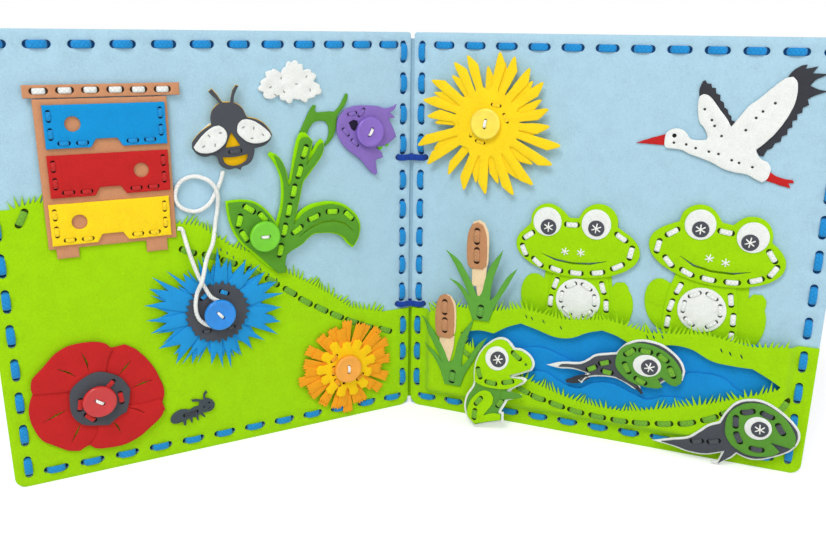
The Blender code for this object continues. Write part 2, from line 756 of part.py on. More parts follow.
def button(name, place, height, seat, thread_deg, colour_name, parent):
    """Sewn button: a dished disc with two holes, on a thread shank that reaches down to its seat."""
    profile = [
        (0, height + button_thickness - button_dish),
        (button_radius - button_rim - button_edge, height + button_thickness - button_dish),
        (button_radius - button_rim, height + button_thickness),
        (button_radius - button_edge, height + button_thickness),
        (button_radius, height + button_thickness - button_edge),
        (button_radius - button_edge, height),
        (shank_radius, height),
        (shank_radius, seat),
        (0, seat),
    ]
    mesh = bpy.data.meshes.new(name)
    mesh.from_pydata([(x, 0, z) for x, z in profile], [(i, i + 1) for i in range(len(profile) - 1)], [])
    disc = bpy.data.objects.new(name, mesh)
    book.objects.link(disc)
    turn = disc.modifiers.new("turned", "SCREW")
    turn.axis = "Z"
    turn.steps = button_sides
    turn.render_steps = button_sides
    turn.use_merge_vertices = True
    turn.merge_threshold = weld_distance
    turn.use_normal_calculate = True
    disc = as_mesh(disc)
    shape = bmesh.new()
    shape.from_mesh(disc.data)
    bmesh.ops.recalc_face_normals(shape, faces=shape.faces)
    shape.to_mesh(disc.data)
    shape.free()
    for turn_deg in (thread_deg, thread_deg + 180):
        angle = math.radians(turn_deg)
        bpy.ops.mesh.primitive_cylinder_add(
            vertices=button_hole_sides, radius=button_hole_radius, depth=4 * button_thickness,
            location=(
                button_hole_spread * math.cos(angle),
                button_hole_spread * math.sin(angle),
                height + 3 * button_thickness / 2,
            ),
        )
        drill = bpy.context.object
        disc = combine(disc, drill, "DIFFERENCE")
    disc.parent = parent
    disc.location = (place[0], place[1], 0)
    disc.data.shade_smooth()
    disc.data.set_sharp_from_angle(angle=math.radians(35))
    return finish(disc, colour_name, 0.35)


def shank_hole(steps=8):
    return ring(shank_radius + shank_clearance, steps)


def petals_of_poppy(steps=44):
    points = []
    for i in range(steps):
        angle = i * 360 / steps
        near = min(abs((angle - notch + 180) % 360 - 180) for notch in poppy_shares["notches_deg"])
        dip = 0.17 * math.exp(-((near / 7) ** 2))
        wave = 0.02 * math.cos(math.radians(13 * angle))
        radius = poppy_radius * (1 - dip + wave)
        points.append(polar(radius, angle))
    return points


def toothed_disc(radius, teeth, depth_share):
    return [
        point
        for i in range(teeth)
        for point in (
            polar(radius, i * 360 / teeth),
            polar(radius * (1 - depth_share), (i + 0.5) * 360 / teeth),
        )
    ]


def polar(radius, angle_deg):
    return (radius * math.cos(math.radians(angle_deg)), radius * math.sin(math.radians(angle_deg)))


def petals_of_cornflower(count=11):
    """Petals that widen outwards and end in three teeth."""
    tooth_shares = [(-0.5, 0.5), (-0.36, 0.92), (-0.2, 0.84), (0, 1), (0.2, 0.84), (0.36, 0.92)]
    return [
        polar(cornflower_radius * reach_share, (i + turn_share) * 360 / count)
        for i in range(count)
        for turn_share, reach_share in tooth_shares
    ]


def petals_of_marigold(count=19):
    finger_shares = [(-0.5, 0.7), (-0.3, 0.96), (-0.1, 1), (0.1, 0.95), (0.3, 0.99)]
    return [
        polar(marigold_radius * reach_share, (i + turn_share) * 360 / count)
        for i in range(count)
        for turn_share, reach_share in finger_shares
    ]


def rays_of_sun(count=24):
    ray_shares = [(-0.5, 0.74), (0.12, 1), (0.2, 0.97)]
    return [
        polar(sun_radius * reach_share, (i + turn_share) * 360 / count)
        for i in range(count)
        for turn_share, reach_share in ray_shares
    ]


def flower(names, middle, petals, centre, base_layer, colours, parent):
    """Two felt layers that turn together on the thread shank of their button."""
    place = spot(middle)
    for i, outline in enumerate((petals, centre)):
        felt_piece(
            names[i], outline, layer(base_layer + i), colours[i], parent, [shank_hole()], place=place,
        )


def drawer(name, shares, width, colour_name, parent):
    """Pocket of the hive: a plate with a finger hole and a notch in its lower edge."""
    x, y = spot(shares["middle"])
    notch = spot((shares["notch"], 0))[0]
    low, high = y - drawer_height / 2, y + drawer_height / 2
    outline = [
        (x - width / 2, low), (notch - drawer_notch_width / 2, low),
        (notch - drawer_notch_width / 3, low + drawer_notch_depth),
        (notch + drawer_notch_width / 3, low + drawer_notch_depth),
        (notch + drawer_notch_width / 2, low), (x + width / 2, low), (x + width / 2, high),
        (x - width / 2, high),
    ]
    hole = ring(drawer_hole_radius, 12, spot(shares["hole"]))
    felt_piece(name, outline, layer(2), colour_name, parent, [hole])


def hive(parent):
    felt_piece("hive_board", motif(hive_shares, hive_width), layer(1), "tan", parent)
    roof = box_outline(spot(roof_middle_shares), roof_width, roof_height)
    felt_piece("hive_roof", roof, layer(1), "tan", parent)
    drawer("hive_upper_drawer", upper_drawer_shares, upper_drawer_width, "blue", parent)
    drawer("hive_middle_drawer", middle_drawer_shares, middle_drawer_width, "red", parent)
    drawer("hive_lower_drawer", lower_drawer_shares, lower_drawer_width, "yellow", parent)


def chart_discs(shares, width):
    scale = width / shares["across"]
    centre = spot(shares["middle"])
    middle = shares["middle"]
    return centre, [
        (centre[0] + (x - middle[0]) * scale, centre[1] + (y - middle[1]) * scale, r * scale, r * scale)
        for x, y, r in shares["discs"]
    ]


def bee(parent):
    felt_piece("bee_wings", motif(wing_shares, bee_wing_span), layer(0), "white", parent)
    middle, discs = chart_discs(bee_shares, bee_body_width)
    body = around_discs(middle, discs, 32)
    felt_piece("bee_backing", inset(body, gap), layer(1), "amber", parent)
    tips = motif(bee_shares, bee_body_width, "feelers")
    outline = with_feelers(body, middle, tips, 0.07)
    cuts = [motif(bee_shares, bee_body_width, "triangle"), motif(bee_shares, bee_body_width, "smile")]
    felt_piece("bee_body", outline, layer(2), "grey", parent, cuts)


def plant(parent):
    outline = motif(plant_shares, plant_width)
    felt_piece("plant_backing", outline, layer(1), "lime", parent)
    felt_piece("plant_front", inset(outline, plant_rim), layer(2), "green", parent)
    felt_piece("bell_stem", motif(bell_stem_shares, bell_stem_width), layer(0), "green", parent)


def smooth_route(points, count):
    """Points spaced evenly along a smooth curve through the route's own points."""
    fine = []
    steps = 24
    for i in range(len(points) - 1):
        p0 = points[max(i - 1, 0)]
        p1, p2 = points[i], points[i + 1]
        p3 = points[min(i + 2, len(points) - 1)]
        for j in range(steps):
            t = j / steps
            fine.append(
                p1 * (2 - 5 * t * t + 3 * t ** 3) / 2 + p2 * (t + 4 * t * t - 3 * t ** 3) / 2
                + p0 * (-t + 2 * t * t - t ** 3) / 2 + p3 * (t ** 3 - t * t) / 2
            )
    fine.append(points[-1])
    travelled = [0]
    for a, b in zip(fine, fine[1:]):
        travelled.append(travelled[-1] + (b - a).length)
    spaced, index = [], 0
    for k in range(count):
        target = travelled[-1] * k / (count - 1)
        while index < len(fine) - 2 and travelled[index + 1] < target:
            index += 1
        span = travelled[index + 1] - travelled[index]
        spaced.append(fine[index].lerp(fine[index + 1], (target - travelled[index]) / span if span else 0))
    return spaced


def cord_heights():
    """Height of the cord's middle over the sky, a crossing, the grass, the petals, the disc and itself."""
    rest = gap + cord_diameter / 2
    return (
        rest,
        2 * rest + cord_diameter / 2,
        felt + gap + rest,
        layer(2) + felt + rest,
        layer(3) + felt + rest,
        layer(3) + felt + rest + cord_diameter + gap,
    )


def bee_cord(parent):
    heights = cord_heights()
    route = [Vector((*spot((x, y)), heights[rest])) for x, y, rest in cord_route_shares]
    curve = bpy.data.curves.new("bee_cord", "CURVE")
    curve.dimensions = "3D"
    curve.bevel_depth = cord_diameter / 2
    curve.bevel_resolution = 2
    curve.use_fill_caps = True
    points = smooth_route(route, cord_point_count)
    spline = curve.splines.new("POLY")
    spline.points.add(len(points) - 1)
    for point, place in zip(spline.points, points):
        point.co = (*place, 1)
    cord = bpy.data.objects.new("bee_cord", curve)
    book.objects.link(cord)
    cord.parent = parent
    print("cord length", round(sum((b - a).length for a, b in zip(points, points[1:])), 4))
    return finish(cord, "white")


def spine_tie(name, height):
    """Short loop of lace through both pages, bent round the spine."""
    turn = math.radians(page_turn_deg)

    def place(side, u, n):
        u += spine_gap / 2
        return (side * (u * math.cos(turn) - n * math.sin(turn)), -u * math.sin(turn) - n * math.cos(turn))

    front = gap - fold_rise
    back = -page_felt - 2 * gap - lace_thickness - fold_rise
    outer = tie_reach + tie_thickness / 2
    inner = tie_reach - tie_thickness / 2
    outside = [
        (0, -(front + tie_thickness) / math.cos(turn)),
        place(1, outer, front + tie_thickness),
        place(1, outer, back - tie_thickness),
        (0, -(back - tie_thickness) / math.cos(turn)),
        place(-1, outer, back - tie_thickness),
        place(-1, outer, front + tie_thickness),
    ]
    inside = [
        (0, -front / math.cos(turn)),
        place(1, inner, front),
        place(1, inner, back),
        (0, -back / math.cos(turn)),
        place(-1, inner, back),
        place(-1, inner, front),
    ]
    return felt_piece(name, outside, height - tie_width / 2, "tie_blue", whole, [inside], tie_width)


def bend_to_border(sheet, low, high):
    """Bends a sheet laid at the height low, so that it keeps it only at the laced border of the page."""
    sheet = as_mesh(sheet)
    shape = bmesh.new()
    shape.from_mesh(sheet.data)
    full = meadow_flat + meadow_slope
    lines = [(x, (1, 0, 0)) for x in (meadow_flat, full, page_width - full, page_width - meadow_flat)]
    lines += [(y, (0, 1, 0)) for y in (meadow_flat, full)]
    for distance, way in lines:
        bmesh.ops.bisect_plane(
            shape, geom=[*shape.verts, *shape.edges, *shape.faces], dist=cut_tolerance,
            plane_co=tuple(distance * w for w in way), plane_no=way,
        )
    rise = high - low
    for vert in shape.verts:
        border = min(vert.co.x, page_width - vert.co.x, vert.co.y)
        share = min(max((border - meadow_flat) / meadow_slope, 0), 1)
        vert.co.z += rise * share
    bmesh.ops.triangulate(shape, faces=shape.faces)
    shape.to_mesh(sheet.data)
    shape.free()
    return sheet


def between_stitches(side, height):
    """Height midway between the two stitches of a side that are nearest to a height."""
    places = sorted(side_stitches(side))
    middles = [(low + high) / 2 for low, high in zip(places, places[1:])]
    return min(middles, key=lambda middle: abs(middle - height))


def meadow_line():
    """Top edge of the meadow: its ends pass below the tie and between two border stitches."""
    line = [spot(point) for point in meadow_line_shares]
    outer = between_stitches("outer", line[-1][1])
    inner = tie_heights()[1] - grass_below_tie
    return [(x, inner) for x, _ in line[:2]] + line[2:-2] + [(x, outer) for x, _ in line[-2:]]


def grass_line():
    """Top edge of the grass: its ends pass between two border stitches and below the tie."""
    line = [spot(point) for point in grass_line_shares]
    outer = between_stitches("outer", line[0][1])
    inner = tie_heights()[1] - grass_below_tie
    return [(x, outer) for x, _ in line[:2]] + line[2:-2] + [(x, inner) for x, _ in line[-2:]]


def meadow(parent):
    line = meadow_line()
    top = grassy(line, 5)
    foot = rounded_box(page_width, page_height, page_corner_radius)
    low = [p for p in foot if p[1] < page_height / 2]
    right = sorted((p for p in low if p[0] > page_width / 2), key=lambda p: -p[1])
    left = sorted((p for p in low if p[0] < page_width / 2), key=lambda p: p[1])
    outline = top + right + left
    window_top = [spot(point) for point in window_top_shares]
    window_foot = grassy([spot(point) for point in window_foot_shares[::-1]], 8)
    window = window_top + window_foot[::-1]
    holes = stitch_holes(False, on_meadow) + [window]
    sheet = felt_piece("meadow", outline, layer(0), "lime", parent, holes)
    return bend_to_border(sheet, layer(0), layer(4))


def on_meadow(middle):
    return under_line(meadow_line(), middle[0], middle[1])


def on_grass(middle):
    return under_line(grass_line(), page_width - middle[0], middle[1])


def under_line(line, x, y):
    """Whether a stitch lies wholly on a grass sheet, whose top edge passes between two stitches."""
    for start, end in zip(line, line[1:]):
        if start[0] <= x <= end[0]:
            return y < start[1] + (end[1] - start[1]) * (x - start[0]) / (end[0] - start[0])
    return False


def grass(parent):
    top = grassy(grass_line(), 3)
    foot = rounded_box(page_width, page_height, page_corner_radius)
    low = [p for p in foot if p[1] < page_height / 2]
    right = sorted((p for p in low if p[0] > page_width / 2), key=lambda p: -p[1])
    left = sorted((p for p in low if p[0] < page_width / 2), key=lambda p: p[1])
    return felt_piece("grass", top + right + left, layer(0), "lime", parent, stitch_holes(True, on_grass))


def wave(name, crest_shares, height, colour_name, parent):
    """Sheet of water from its crest down to the hidden foot of the pond."""
    scale = pond_width / pond_across_share
    middle = spot((pond_middle_share, 0))[0]
    low = spot((0, pond_foot_share))[1]
    crest = [
        (middle + (spot((x, 0))[0] - middle) * scale * page_scale(), spot((0, y))[1])
        for x, y in crest_shares
    ]
    outline = crest + [(crest[-1][0], low), (crest[0][0], low)]
    return felt_piece(name, outline, height, colour_name, parent)


def page_scale():
    """Chart squares per metre of page, so that the pond keeps its own width."""
    return chart_squares_share / page_width


def frog(name, shares, parent):
    """Frog tucked in the pocket behind the pond: a body that reaches down it, and a head with eye bumps."""
    tilt = math.radians(shares["tilt_deg"])
    middle = spot(shares["middle"])
    scale = frog_head_width / frog_head_across_share
    reach, rise = frog_head_reach_shares

    def tilted(x, y, k):
        return (
            (x * math.cos(tilt) - y * math.sin(tilt)) * k + middle[0],
            (x * math.sin(tilt) + y * math.cos(tilt)) * k + middle[1],
        )

    discs = [(0, 0, reach * scale, rise * scale)]
    discs += [(x * scale, y * scale, r * scale, r * scale) for x, y, r in shares["eyes"]]
    head = [tilted(x, y, 1) for x, y in around_discs((0, 0), discs, 44)]
    body_scale = frog_body_width / frog_body_across_share
    body = [tilted(x, y, body_scale) for x, y in frog_body_shares]
    felt_piece(name + "_body", body, layer(0), "lime", parent)
    felt_piece(name + "_head", head, layer(1), "lime", parent)
    belly = ring(frog_belly_radius, 24, spot(shares["belly"]))
    felt_piece(name + "_belly", belly, layer(1), "white", parent)


def stork(parent):
    felt_piece("stork_body", motif(stork_shares, stork_span), layer(0), "white", parent)
    felt_piece("stork_feathers", motif(stork_feather_shares, stork_span), layer(0), "grey", parent)
    felt_piece("stork_beak", motif(stork_beak_shares, stork_beak_length), layer(0), "red", parent)
    felt_piece("stork_legs", motif(stork_leg_shares, stork_leg_length), layer(0), "red", parent)


def cattail(name, shares, parent):
    outline = motif(shares, cattail_leaf_width, "leaves")
    leaves = felt_piece(name + "_leaves", outline, layer(2), "leaf", parent)
    bend_to_border(leaves, layer(2), layer(5))
    heads = shares["head"]
    across = max(x for x, _ in heads) - min(x for x, _ in heads)
    middle = (sum(x for x, _ in heads) / len(heads), sum(y for _, y in heads) / len(heads))
    head = drawn(heads, middle, across, cattail_head_width)
    felt_piece(name + "_head", head, layer(5), "tan", parent)


def swimmer(name, shares, width, rim, base_layer, colours, parent):
    """Loose felt animal of two layers, the front one drawn in from its backing."""
    outline = motif(shares, width)
    felt_piece(name + "_backing", outline, layer(base_layer), colours[0], parent)
    felt_piece(name + "_body", inset(outline, rim), layer(base_layer + 1), colours[1], parent)


def froglet(parent):
    """Loose froglet that stands on the table and leans back on the page."""
    scale = froglet_width / spot((froglet_shares["across"], 0))[0]
    foot = spot(froglet_shares["middle"])[0]
    low = froglet_shares["foot"]
    middle = froglet_shares["middle"][0]
    outline, front = (
        [tuple(Vector(spot((x - middle, y - low))) * scale) for x, y in froglet_shares[key]]
        for key in ("outline", "front")
    )
    lean = math.radians(froglet_lean_deg)
    stand = empty("froglet_stand", parent, (foot, gap, froglet_stand), (-lean, 0, 0))
    felt_piece("froglet_backing", outline, 0, "white", stand)
    felt_piece("froglet_body", front, felt + gap, "lime", stand)


def centre_on_table():
    """Moves the whole book so that the middle of its footprint is the origin."""
    bpy.context.view_layer.update()
    graph = bpy.context.evaluated_depsgraph_get()
    corners = []
    for piece in book.objects:
        if piece.type == "EMPTY" or piece.name == "bee_cord":
            continue
        mesh = piece.evaluated_get(graph).to_mesh()
        corners += [piece.matrix_world @ vert.co for vert in mesh.vertices]
        piece.evaluated_get(graph).to_mesh_clear()
    low = [min(c[i] for c in corners) for i in range(3)]
    high = [max(c[i] for c in corners) for i in range(3)]
    whole.location = (-(low[0] + high[0]) / 2, -(low[1] + high[1]) / 2, -low[2])
    bpy.context.view_layer.update()
    print("spine axis", [round(v, 6) for v in whole.matrix_world.translation])


clear_scene()
book = new_collection("quiet_book")
whole = empty("book_frame", None)
left_page = page_frame("left_page_frame", -1, page_width + spine_gap / 2)
right_page = page_frame("right_page_frame", 1, spine_gap / 2)

page_sheet("left_sheet", left_page, True)
grass(left_page)
finish(border_lace("left_border_lace", left_page, True, on_grass), "lace_blue")
hive(left_page)
cloud_middle, cloud_discs = chart_discs(cloud_shares, cloud_width)
felt_piece("cloud", around_discs(cloud_middle, cloud_discs, 40), layer(0), "white", left_page)
felt_piece("ant", motif(ant_shares, ant_length), layer(1), "grey", left_page)
plant(left_page)
bee(left_page)
bee_cord(left_page)

flower(
    ("poppy_petals", "poppy_centre"), poppy_shares["middle"], petals_of_poppy(),
    toothed_disc(poppy_centre_radius, 20, 0.08), 2, ("red", "grey"), left_page,
)
flower(
    ("cornflower_petals", "cornflower_centre"), cornflower_shares["middle"], petals_of_cornflower(),
    toothed_disc(cornflower_centre_radius, 22, 0.08), 2, ("blue", "grey"), left_page,
)
flower(
    ("marigold_petals", "marigold_centre"), marigold_shares["middle"], petals_of_marigold(),
    toothed_disc(marigold_centre_radius, 22, 0.1), 2, ("orange", "yellow"), left_page,
)
bell_place = spot(bell_button_shares)
felt_piece(
    "bellflower", motif(bellflower_shares, bellflower_width, about=bell_place), layer(1),
    "purple", left_page,
    [shank_hole()], place=bell_place,
)

on_grass_seat = layer(1)
button(
    "poppy_button", spot(poppy_shares["middle"]), layer(4), on_grass_seat, thread_turns_deg["poppy"],
    "red", left_page,
)
cornflower_button_height = layer(4) + cord_diameter + gap
button(
    "cornflower_button", spot(cornflower_shares["middle"]), cornflower_button_height, on_grass_seat,
    thread_turns_deg["cornflower"], "blue", left_page,
)
button(
    "marigold_button", spot(marigold_shares["middle"]), layer(4), on_grass_seat,
    thread_turns_deg["marigold"], "orange", left_page,
)
button(
    "bellflower_button", bell_place, layer(2), layer(0), thread_turns_deg["bellflower"],
    "lilac", left_page,
)
button(
    "plant_button", spot(plant_button_shares), layer(4), layer(3), thread_turns_deg["plant"],
    "green", left_page,
)

page_sheet("right_sheet", right_page, False)
wave("pond_water", pond_top_shares, layer(1), "pond", right_page)
wave("middle_wave", middle_wave_shares, layer(2), "pond", right_page)
wave("front_wave", front_wave_shares, layer(3), "pond", right_page)
meadow(right_page)
finish(border_lace("right_border_lace", right_page, False, on_meadow), "lace_blue")
stork(right_page)
cattail("upper_cattail", upper_cattail_shares, right_page)
cattail("lower_cattail", lower_cattail_shares, right_page)
flower(
    ("sun_rays", "sun_disc"), sun_shares["middle"], rays_of_sun(), ring(sun_centre_radius, 32), 2,
    ("yellow", "yellow"), right_page,
)
button(
    "sun_button", spot(sun_shares["middle"]), layer(4), layer(0), thread_turns_deg["sun"],
    "yellow", right_page,
)
frog("left_frog", left_frog_shares, right_page)
frog("right_frog", right_frog_shares, right_page)
swimmer("pond_tadpole", tadpole_shares, tadpole_length, tadpole_rim, 5, ("white", "green"), right_page)
swimmer(
    "front_tadpole", front_tadpole_shares, front_tadpole_length, tadpole_rim, 5, ("white", "green"),
    right_page,
)
froglet(right_page)

for tie_name, tie_height in zip(("upper_tie", "lower_tie"), tie_heights()):
    spine_tie(tie_name, tie_height)

centre_on_table()
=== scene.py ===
"""Looks of the felt quiet book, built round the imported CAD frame.

Everything on the pages is drawn in millimetres of its own page: x along the page, y up it and
n out of its front face. The left page's x starts at its outer edge, the right page's at the spine.
"""

import functools
import math
import random

import bmesh
import bpy
import numpy as np
from mathutils import Matrix, Vector, noise
from mathutils.geometry import delaunay_2d_cdt


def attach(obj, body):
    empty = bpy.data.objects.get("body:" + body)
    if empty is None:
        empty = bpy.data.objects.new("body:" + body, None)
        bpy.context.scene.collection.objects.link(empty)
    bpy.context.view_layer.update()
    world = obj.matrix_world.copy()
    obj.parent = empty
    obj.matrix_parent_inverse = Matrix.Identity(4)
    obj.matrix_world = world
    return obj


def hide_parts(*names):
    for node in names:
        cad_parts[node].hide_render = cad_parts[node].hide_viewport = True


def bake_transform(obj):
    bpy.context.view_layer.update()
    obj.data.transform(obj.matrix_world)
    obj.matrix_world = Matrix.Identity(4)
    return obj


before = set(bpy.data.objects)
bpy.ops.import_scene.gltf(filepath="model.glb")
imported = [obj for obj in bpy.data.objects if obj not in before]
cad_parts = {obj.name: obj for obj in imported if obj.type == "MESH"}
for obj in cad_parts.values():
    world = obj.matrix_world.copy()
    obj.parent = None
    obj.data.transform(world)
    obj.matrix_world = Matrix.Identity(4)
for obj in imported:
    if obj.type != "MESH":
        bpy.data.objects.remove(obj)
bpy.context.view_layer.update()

MM = 0.001
PAGE = 200.0
TURN = math.radians(25)             # of each page out of the plane across the book
FELT = 0.9                          # thickness of a felt piece
GAP = 0.3                           # air under each felt layer
SHEET = 2.0                         # thickness of a page's sheet
FOLD_Y = 41.355                     # of the fold's line, behind the frame's origin
HALF_SPINE = 0.75                   # from the fold's line to a page's inner edge
FOLD_RISE = 1.5                     # of the fold's line out of a page's front face
FROGLET_FOOT = (53.1, 0.3, 15.0)    # on the right page
FROGLET_LEAN = math.radians(11.6)   # back towards the page


def layer(count):
    """Height of the underside of felt layer number count."""
    return GAP + count * (FELT + GAP)


# Places

def page_place(side, along):
    """Matrix from millimetres on a page to metres in the frame."""
    c, s = math.cos(TURN), math.sin(TURN)
    x = side * (along * c + FOLD_RISE * s)
    y = FOLD_Y + FOLD_RISE * c - along * s
    rows = ((c, 0, -side * s, x), (-side * s, 0, -c, y), (0, 1, 0, 0), (0, 0, 0, 1))
    return Matrix.Scale(MM, 4) @ Matrix(rows)


LEFT = page_place(-1, PAGE + HALF_SPINE)
RIGHT = page_place(1, HALF_SPINE)
FROGLET = RIGHT @ Matrix.Translation(FROGLET_FOOT) @ Matrix.Rotation(-FROGLET_LEAN, 4, "X")
FROGLET = FROGLET @ Matrix.Translation((-FROGLET_FOOT[0], 1.1, 0))
PLACES = {
    **dict.fromkeys(("left_page", "bellflower_bloom", "bee", "poppy", "cornflower", "marigold"), LEFT),
    **dict.fromkeys(("right_page", "sun", "left_frog", "right_frog", "pond_tadpole", "front_tadpole"), RIGHT),
    "froglet": FROGLET,
}

# Camera

CAMERA_PLACE = (-0.02304, -0.385156, 0.201617)
SENSOR_WIDTH = 36
LENS = 36.218
CAMERA_YAW = math.radians(3.275)
CAMERA_PITCH = math.radians(16.543)
CAMERA_ROLL = math.radians(0.6545)


def make_camera():
    data = bpy.data.cameras.new("camera")
    data.sensor_width = SENSOR_WIDTH
    data.lens = LENS
    data.clip_start = 0.01
    camera = bpy.data.objects.new("camera", data)
    bpy.context.scene.collection.objects.link(camera)
    cy, sy = math.cos(CAMERA_YAW), math.sin(CAMERA_YAW)
    cp, sp = math.cos(CAMERA_PITCH), math.sin(CAMERA_PITCH)
    ahead = Vector((sy * cp, cy * cp, -sp))
    right = Vector((cy, -sy, 0))
    up = right.cross(ahead)
    cr, sr = math.cos(CAMERA_ROLL), math.sin(CAMERA_ROLL)
    across, above = right * cr + up * sr, up * cr - right * sr
    place = Matrix((across, above, -ahead)).transposed().to_4x4()
    place.translation = CAMERA_PLACE
    camera.matrix_world = place
    bpy.context.scene.camera = camera


make_camera()

# Colours and materials

COLOURS = {
    "sky": (172, 208, 226), "lime": (160, 216, 0), "lace_blue": (20, 140, 210), "tie_blue": (8, 60, 156),
    "tan": (203, 143, 104), "blue": (16, 146, 214), "red": (196, 36, 36), "yellow": (255, 216, 30),
    "grey": (76, 79, 86), "amber": (243, 190, 10), "white": (236, 238, 235), "green": (90, 154, 44),
    "lime_bright": (150, 222, 0), "purple": (137, 110, 190), "orange": (247, 163, 30),
    "gold": (255, 205, 14), "cornflower": (34, 150, 218), "cream": (240, 212, 172),
    "pond": (20, 140, 212), "lilac": (132, 98, 196), "leaf": (98, 165, 62),
    "leaf_button": (112, 206, 22), "head_green": (92, 152, 54),
    "thread": (250, 250, 246), "bright_green": (118, 212, 16), "button_blue": (8, 134, 224),
    "button_yellow": (255, 226, 76), "button_orange": (250, 166, 52), "button_red": (202, 40, 44),
    "feather": (58, 60, 66), "stitch_green": (112, 172, 44),
    "dark": (30, 36, 34), "pupil": (78, 80, 88), "ant": (70, 80, 86), "tan_dark": (192, 138, 98),
    # quilting stitches' grey: thread colour darkened as painted shade for the dimples they pull in
    "dimple_thread_shade": (150, 154, 150),
}
HOLE_SHADE = 0.3  # painted shade: brightness of the darker felt colour put at the bottom of a hole in place of the shade that falls in it
# Darker copies of every colour, painted shade for the bottoms of holes
for _name in list(COLOURS):
    COLOURS["deep_" + _name] = tuple(round(HOLE_SHADE * channel) for channel in COLOURS[_name])
# painted shade in the border lace's holes, set on its own
COLOURS["deep_lace_blue"] = (14, 66, 112)


def linear(name):
    def channel(value):
        share = value / 255
        return share / 12.92 if share <= 0.04045 else ((share + 0.055) / 1.055) ** 2.4
    return tuple(channel(v) for v in COLOURS[name])


def tone(colour, factor):
    return (*[min(c * factor, 1) for c in colour], 1)


class Nodes:
    """Short way to write a material's node tree."""

    def __init__(self, name):
        self.material = bpy.data.materials.new(name)
        self.material.use_nodes = True
        self.tree = self.material.node_tree
        self.shader = self.tree.nodes["Principled BSDF"]

    def add(self, kind, **settings):
        node = self.tree.nodes.new(kind)
        for key, value in settings.items():
            setattr(node, key, value)
        return node

    def set(self, **values):
        """Sets inputs of the shader; their names have _ for a space."""
        for name, value in values.items():
            self.shader.inputs[name.replace("_", " ")].default_value = value

    def link(self, source, target):
        self.tree.links.new(source, target)

    def noise(self, where, scale, detail=2.0, roughness=0.5, distortion=0.0):
        node = self.add("ShaderNodeTexNoise")
        node.inputs["Scale"].default_value = scale
        node.inputs["Detail"].default_value = detail
        node.inputs["Roughness"].default_value = roughness
        node.inputs["Distortion"].default_value = distortion
        self.link(where, node.inputs["Vector"])
        return node.outputs["Fac"]

    def maths(self, operation, a, b):
        node = self.add("ShaderNodeMath", operation=operation)
        for socket, value in zip(node.inputs, (a, b)):
            if isinstance(value, (int, float)):
                socket.default_value = value
            else:
                self.link(value, socket)
        return node.outputs[0]

    def ramp(self, factor, stops):
        node = self.add("ShaderNodeValToRGB")
        while len(node.color_ramp.elements) < len(stops):
            node.color_ramp.elements.new(0.5)
        for element, (place, colour) in zip(node.color_ramp.elements, stops):
            element.position = place
            element.color = colour
        self.link(factor, node.inputs["Fac"])
        return node.outputs["Color"]

    def bump(self, height, distance, strength, before=None):
        node = self.add("ShaderNodeBump")
        node.inputs["Distance"].default_value = distance
        node.inputs["Strength"].default_value = strength
        self.link(height, node.inputs["Height"])
        if before is not None:
            self.link(before, node.inputs["Normal"])
        return node.outputs["Normal"]


THREAD_RIBS = 2600.0
LACE_RIBS = 1500.0


@functools.cache
def felt_material(colour):
    """Pressed craft felt: mottled colour, matted fibres and a soft sheen."""
    nodes = Nodes("felt_" + colour)
    base = linear(colour)
    where = nodes.add("ShaderNodeTexCoord").outputs["Object"]
    stretch = nodes.add("ShaderNodeMapping")
    stretch.inputs["Scale"].default_value = (1.0, 1.0, 0.38)
    stretch.inputs["Rotation"].default_value = (0.5, 0.35, 0.6)
    nodes.link(where, stretch.inputs["Vector"])
    blotch = nodes.noise(where, 130, 2, 0.5, 0.4)
    matted = nodes.noise(where, 1150, 5, 0.62, 1.6)
    fibre = nodes.noise(stretch.outputs["Vector"], 4200, 3, 0.6, 0.8)
    mix = nodes.maths("ADD", nodes.maths("MULTIPLY", blotch, 0.16), nodes.maths("MULTIPLY", matted, 0.44))
    mix = nodes.maths("ADD", mix, nodes.maths("MULTIPLY", fibre, 0.40))
    colours = nodes.ramp(mix, ((0.36, tone(base, 0.84)), (0.5, tone(base, 1.0)), (0.66, tone(base, 1.12))))
    nodes.link(colours, nodes.shader.inputs["Base Color"])
    normal = nodes.bump(matted, 0.00016, 0.55)
    normal = nodes.bump(fibre, 0.00007, 0.6, normal)
    nodes.link(normal, nodes.shader.inputs["Normal"])
    nodes.set(Roughness=0.95, Specular_IOR_Level=0.15, Sheen_Weight=0.05, Sheen_Roughness=0.6)
    return nodes.material


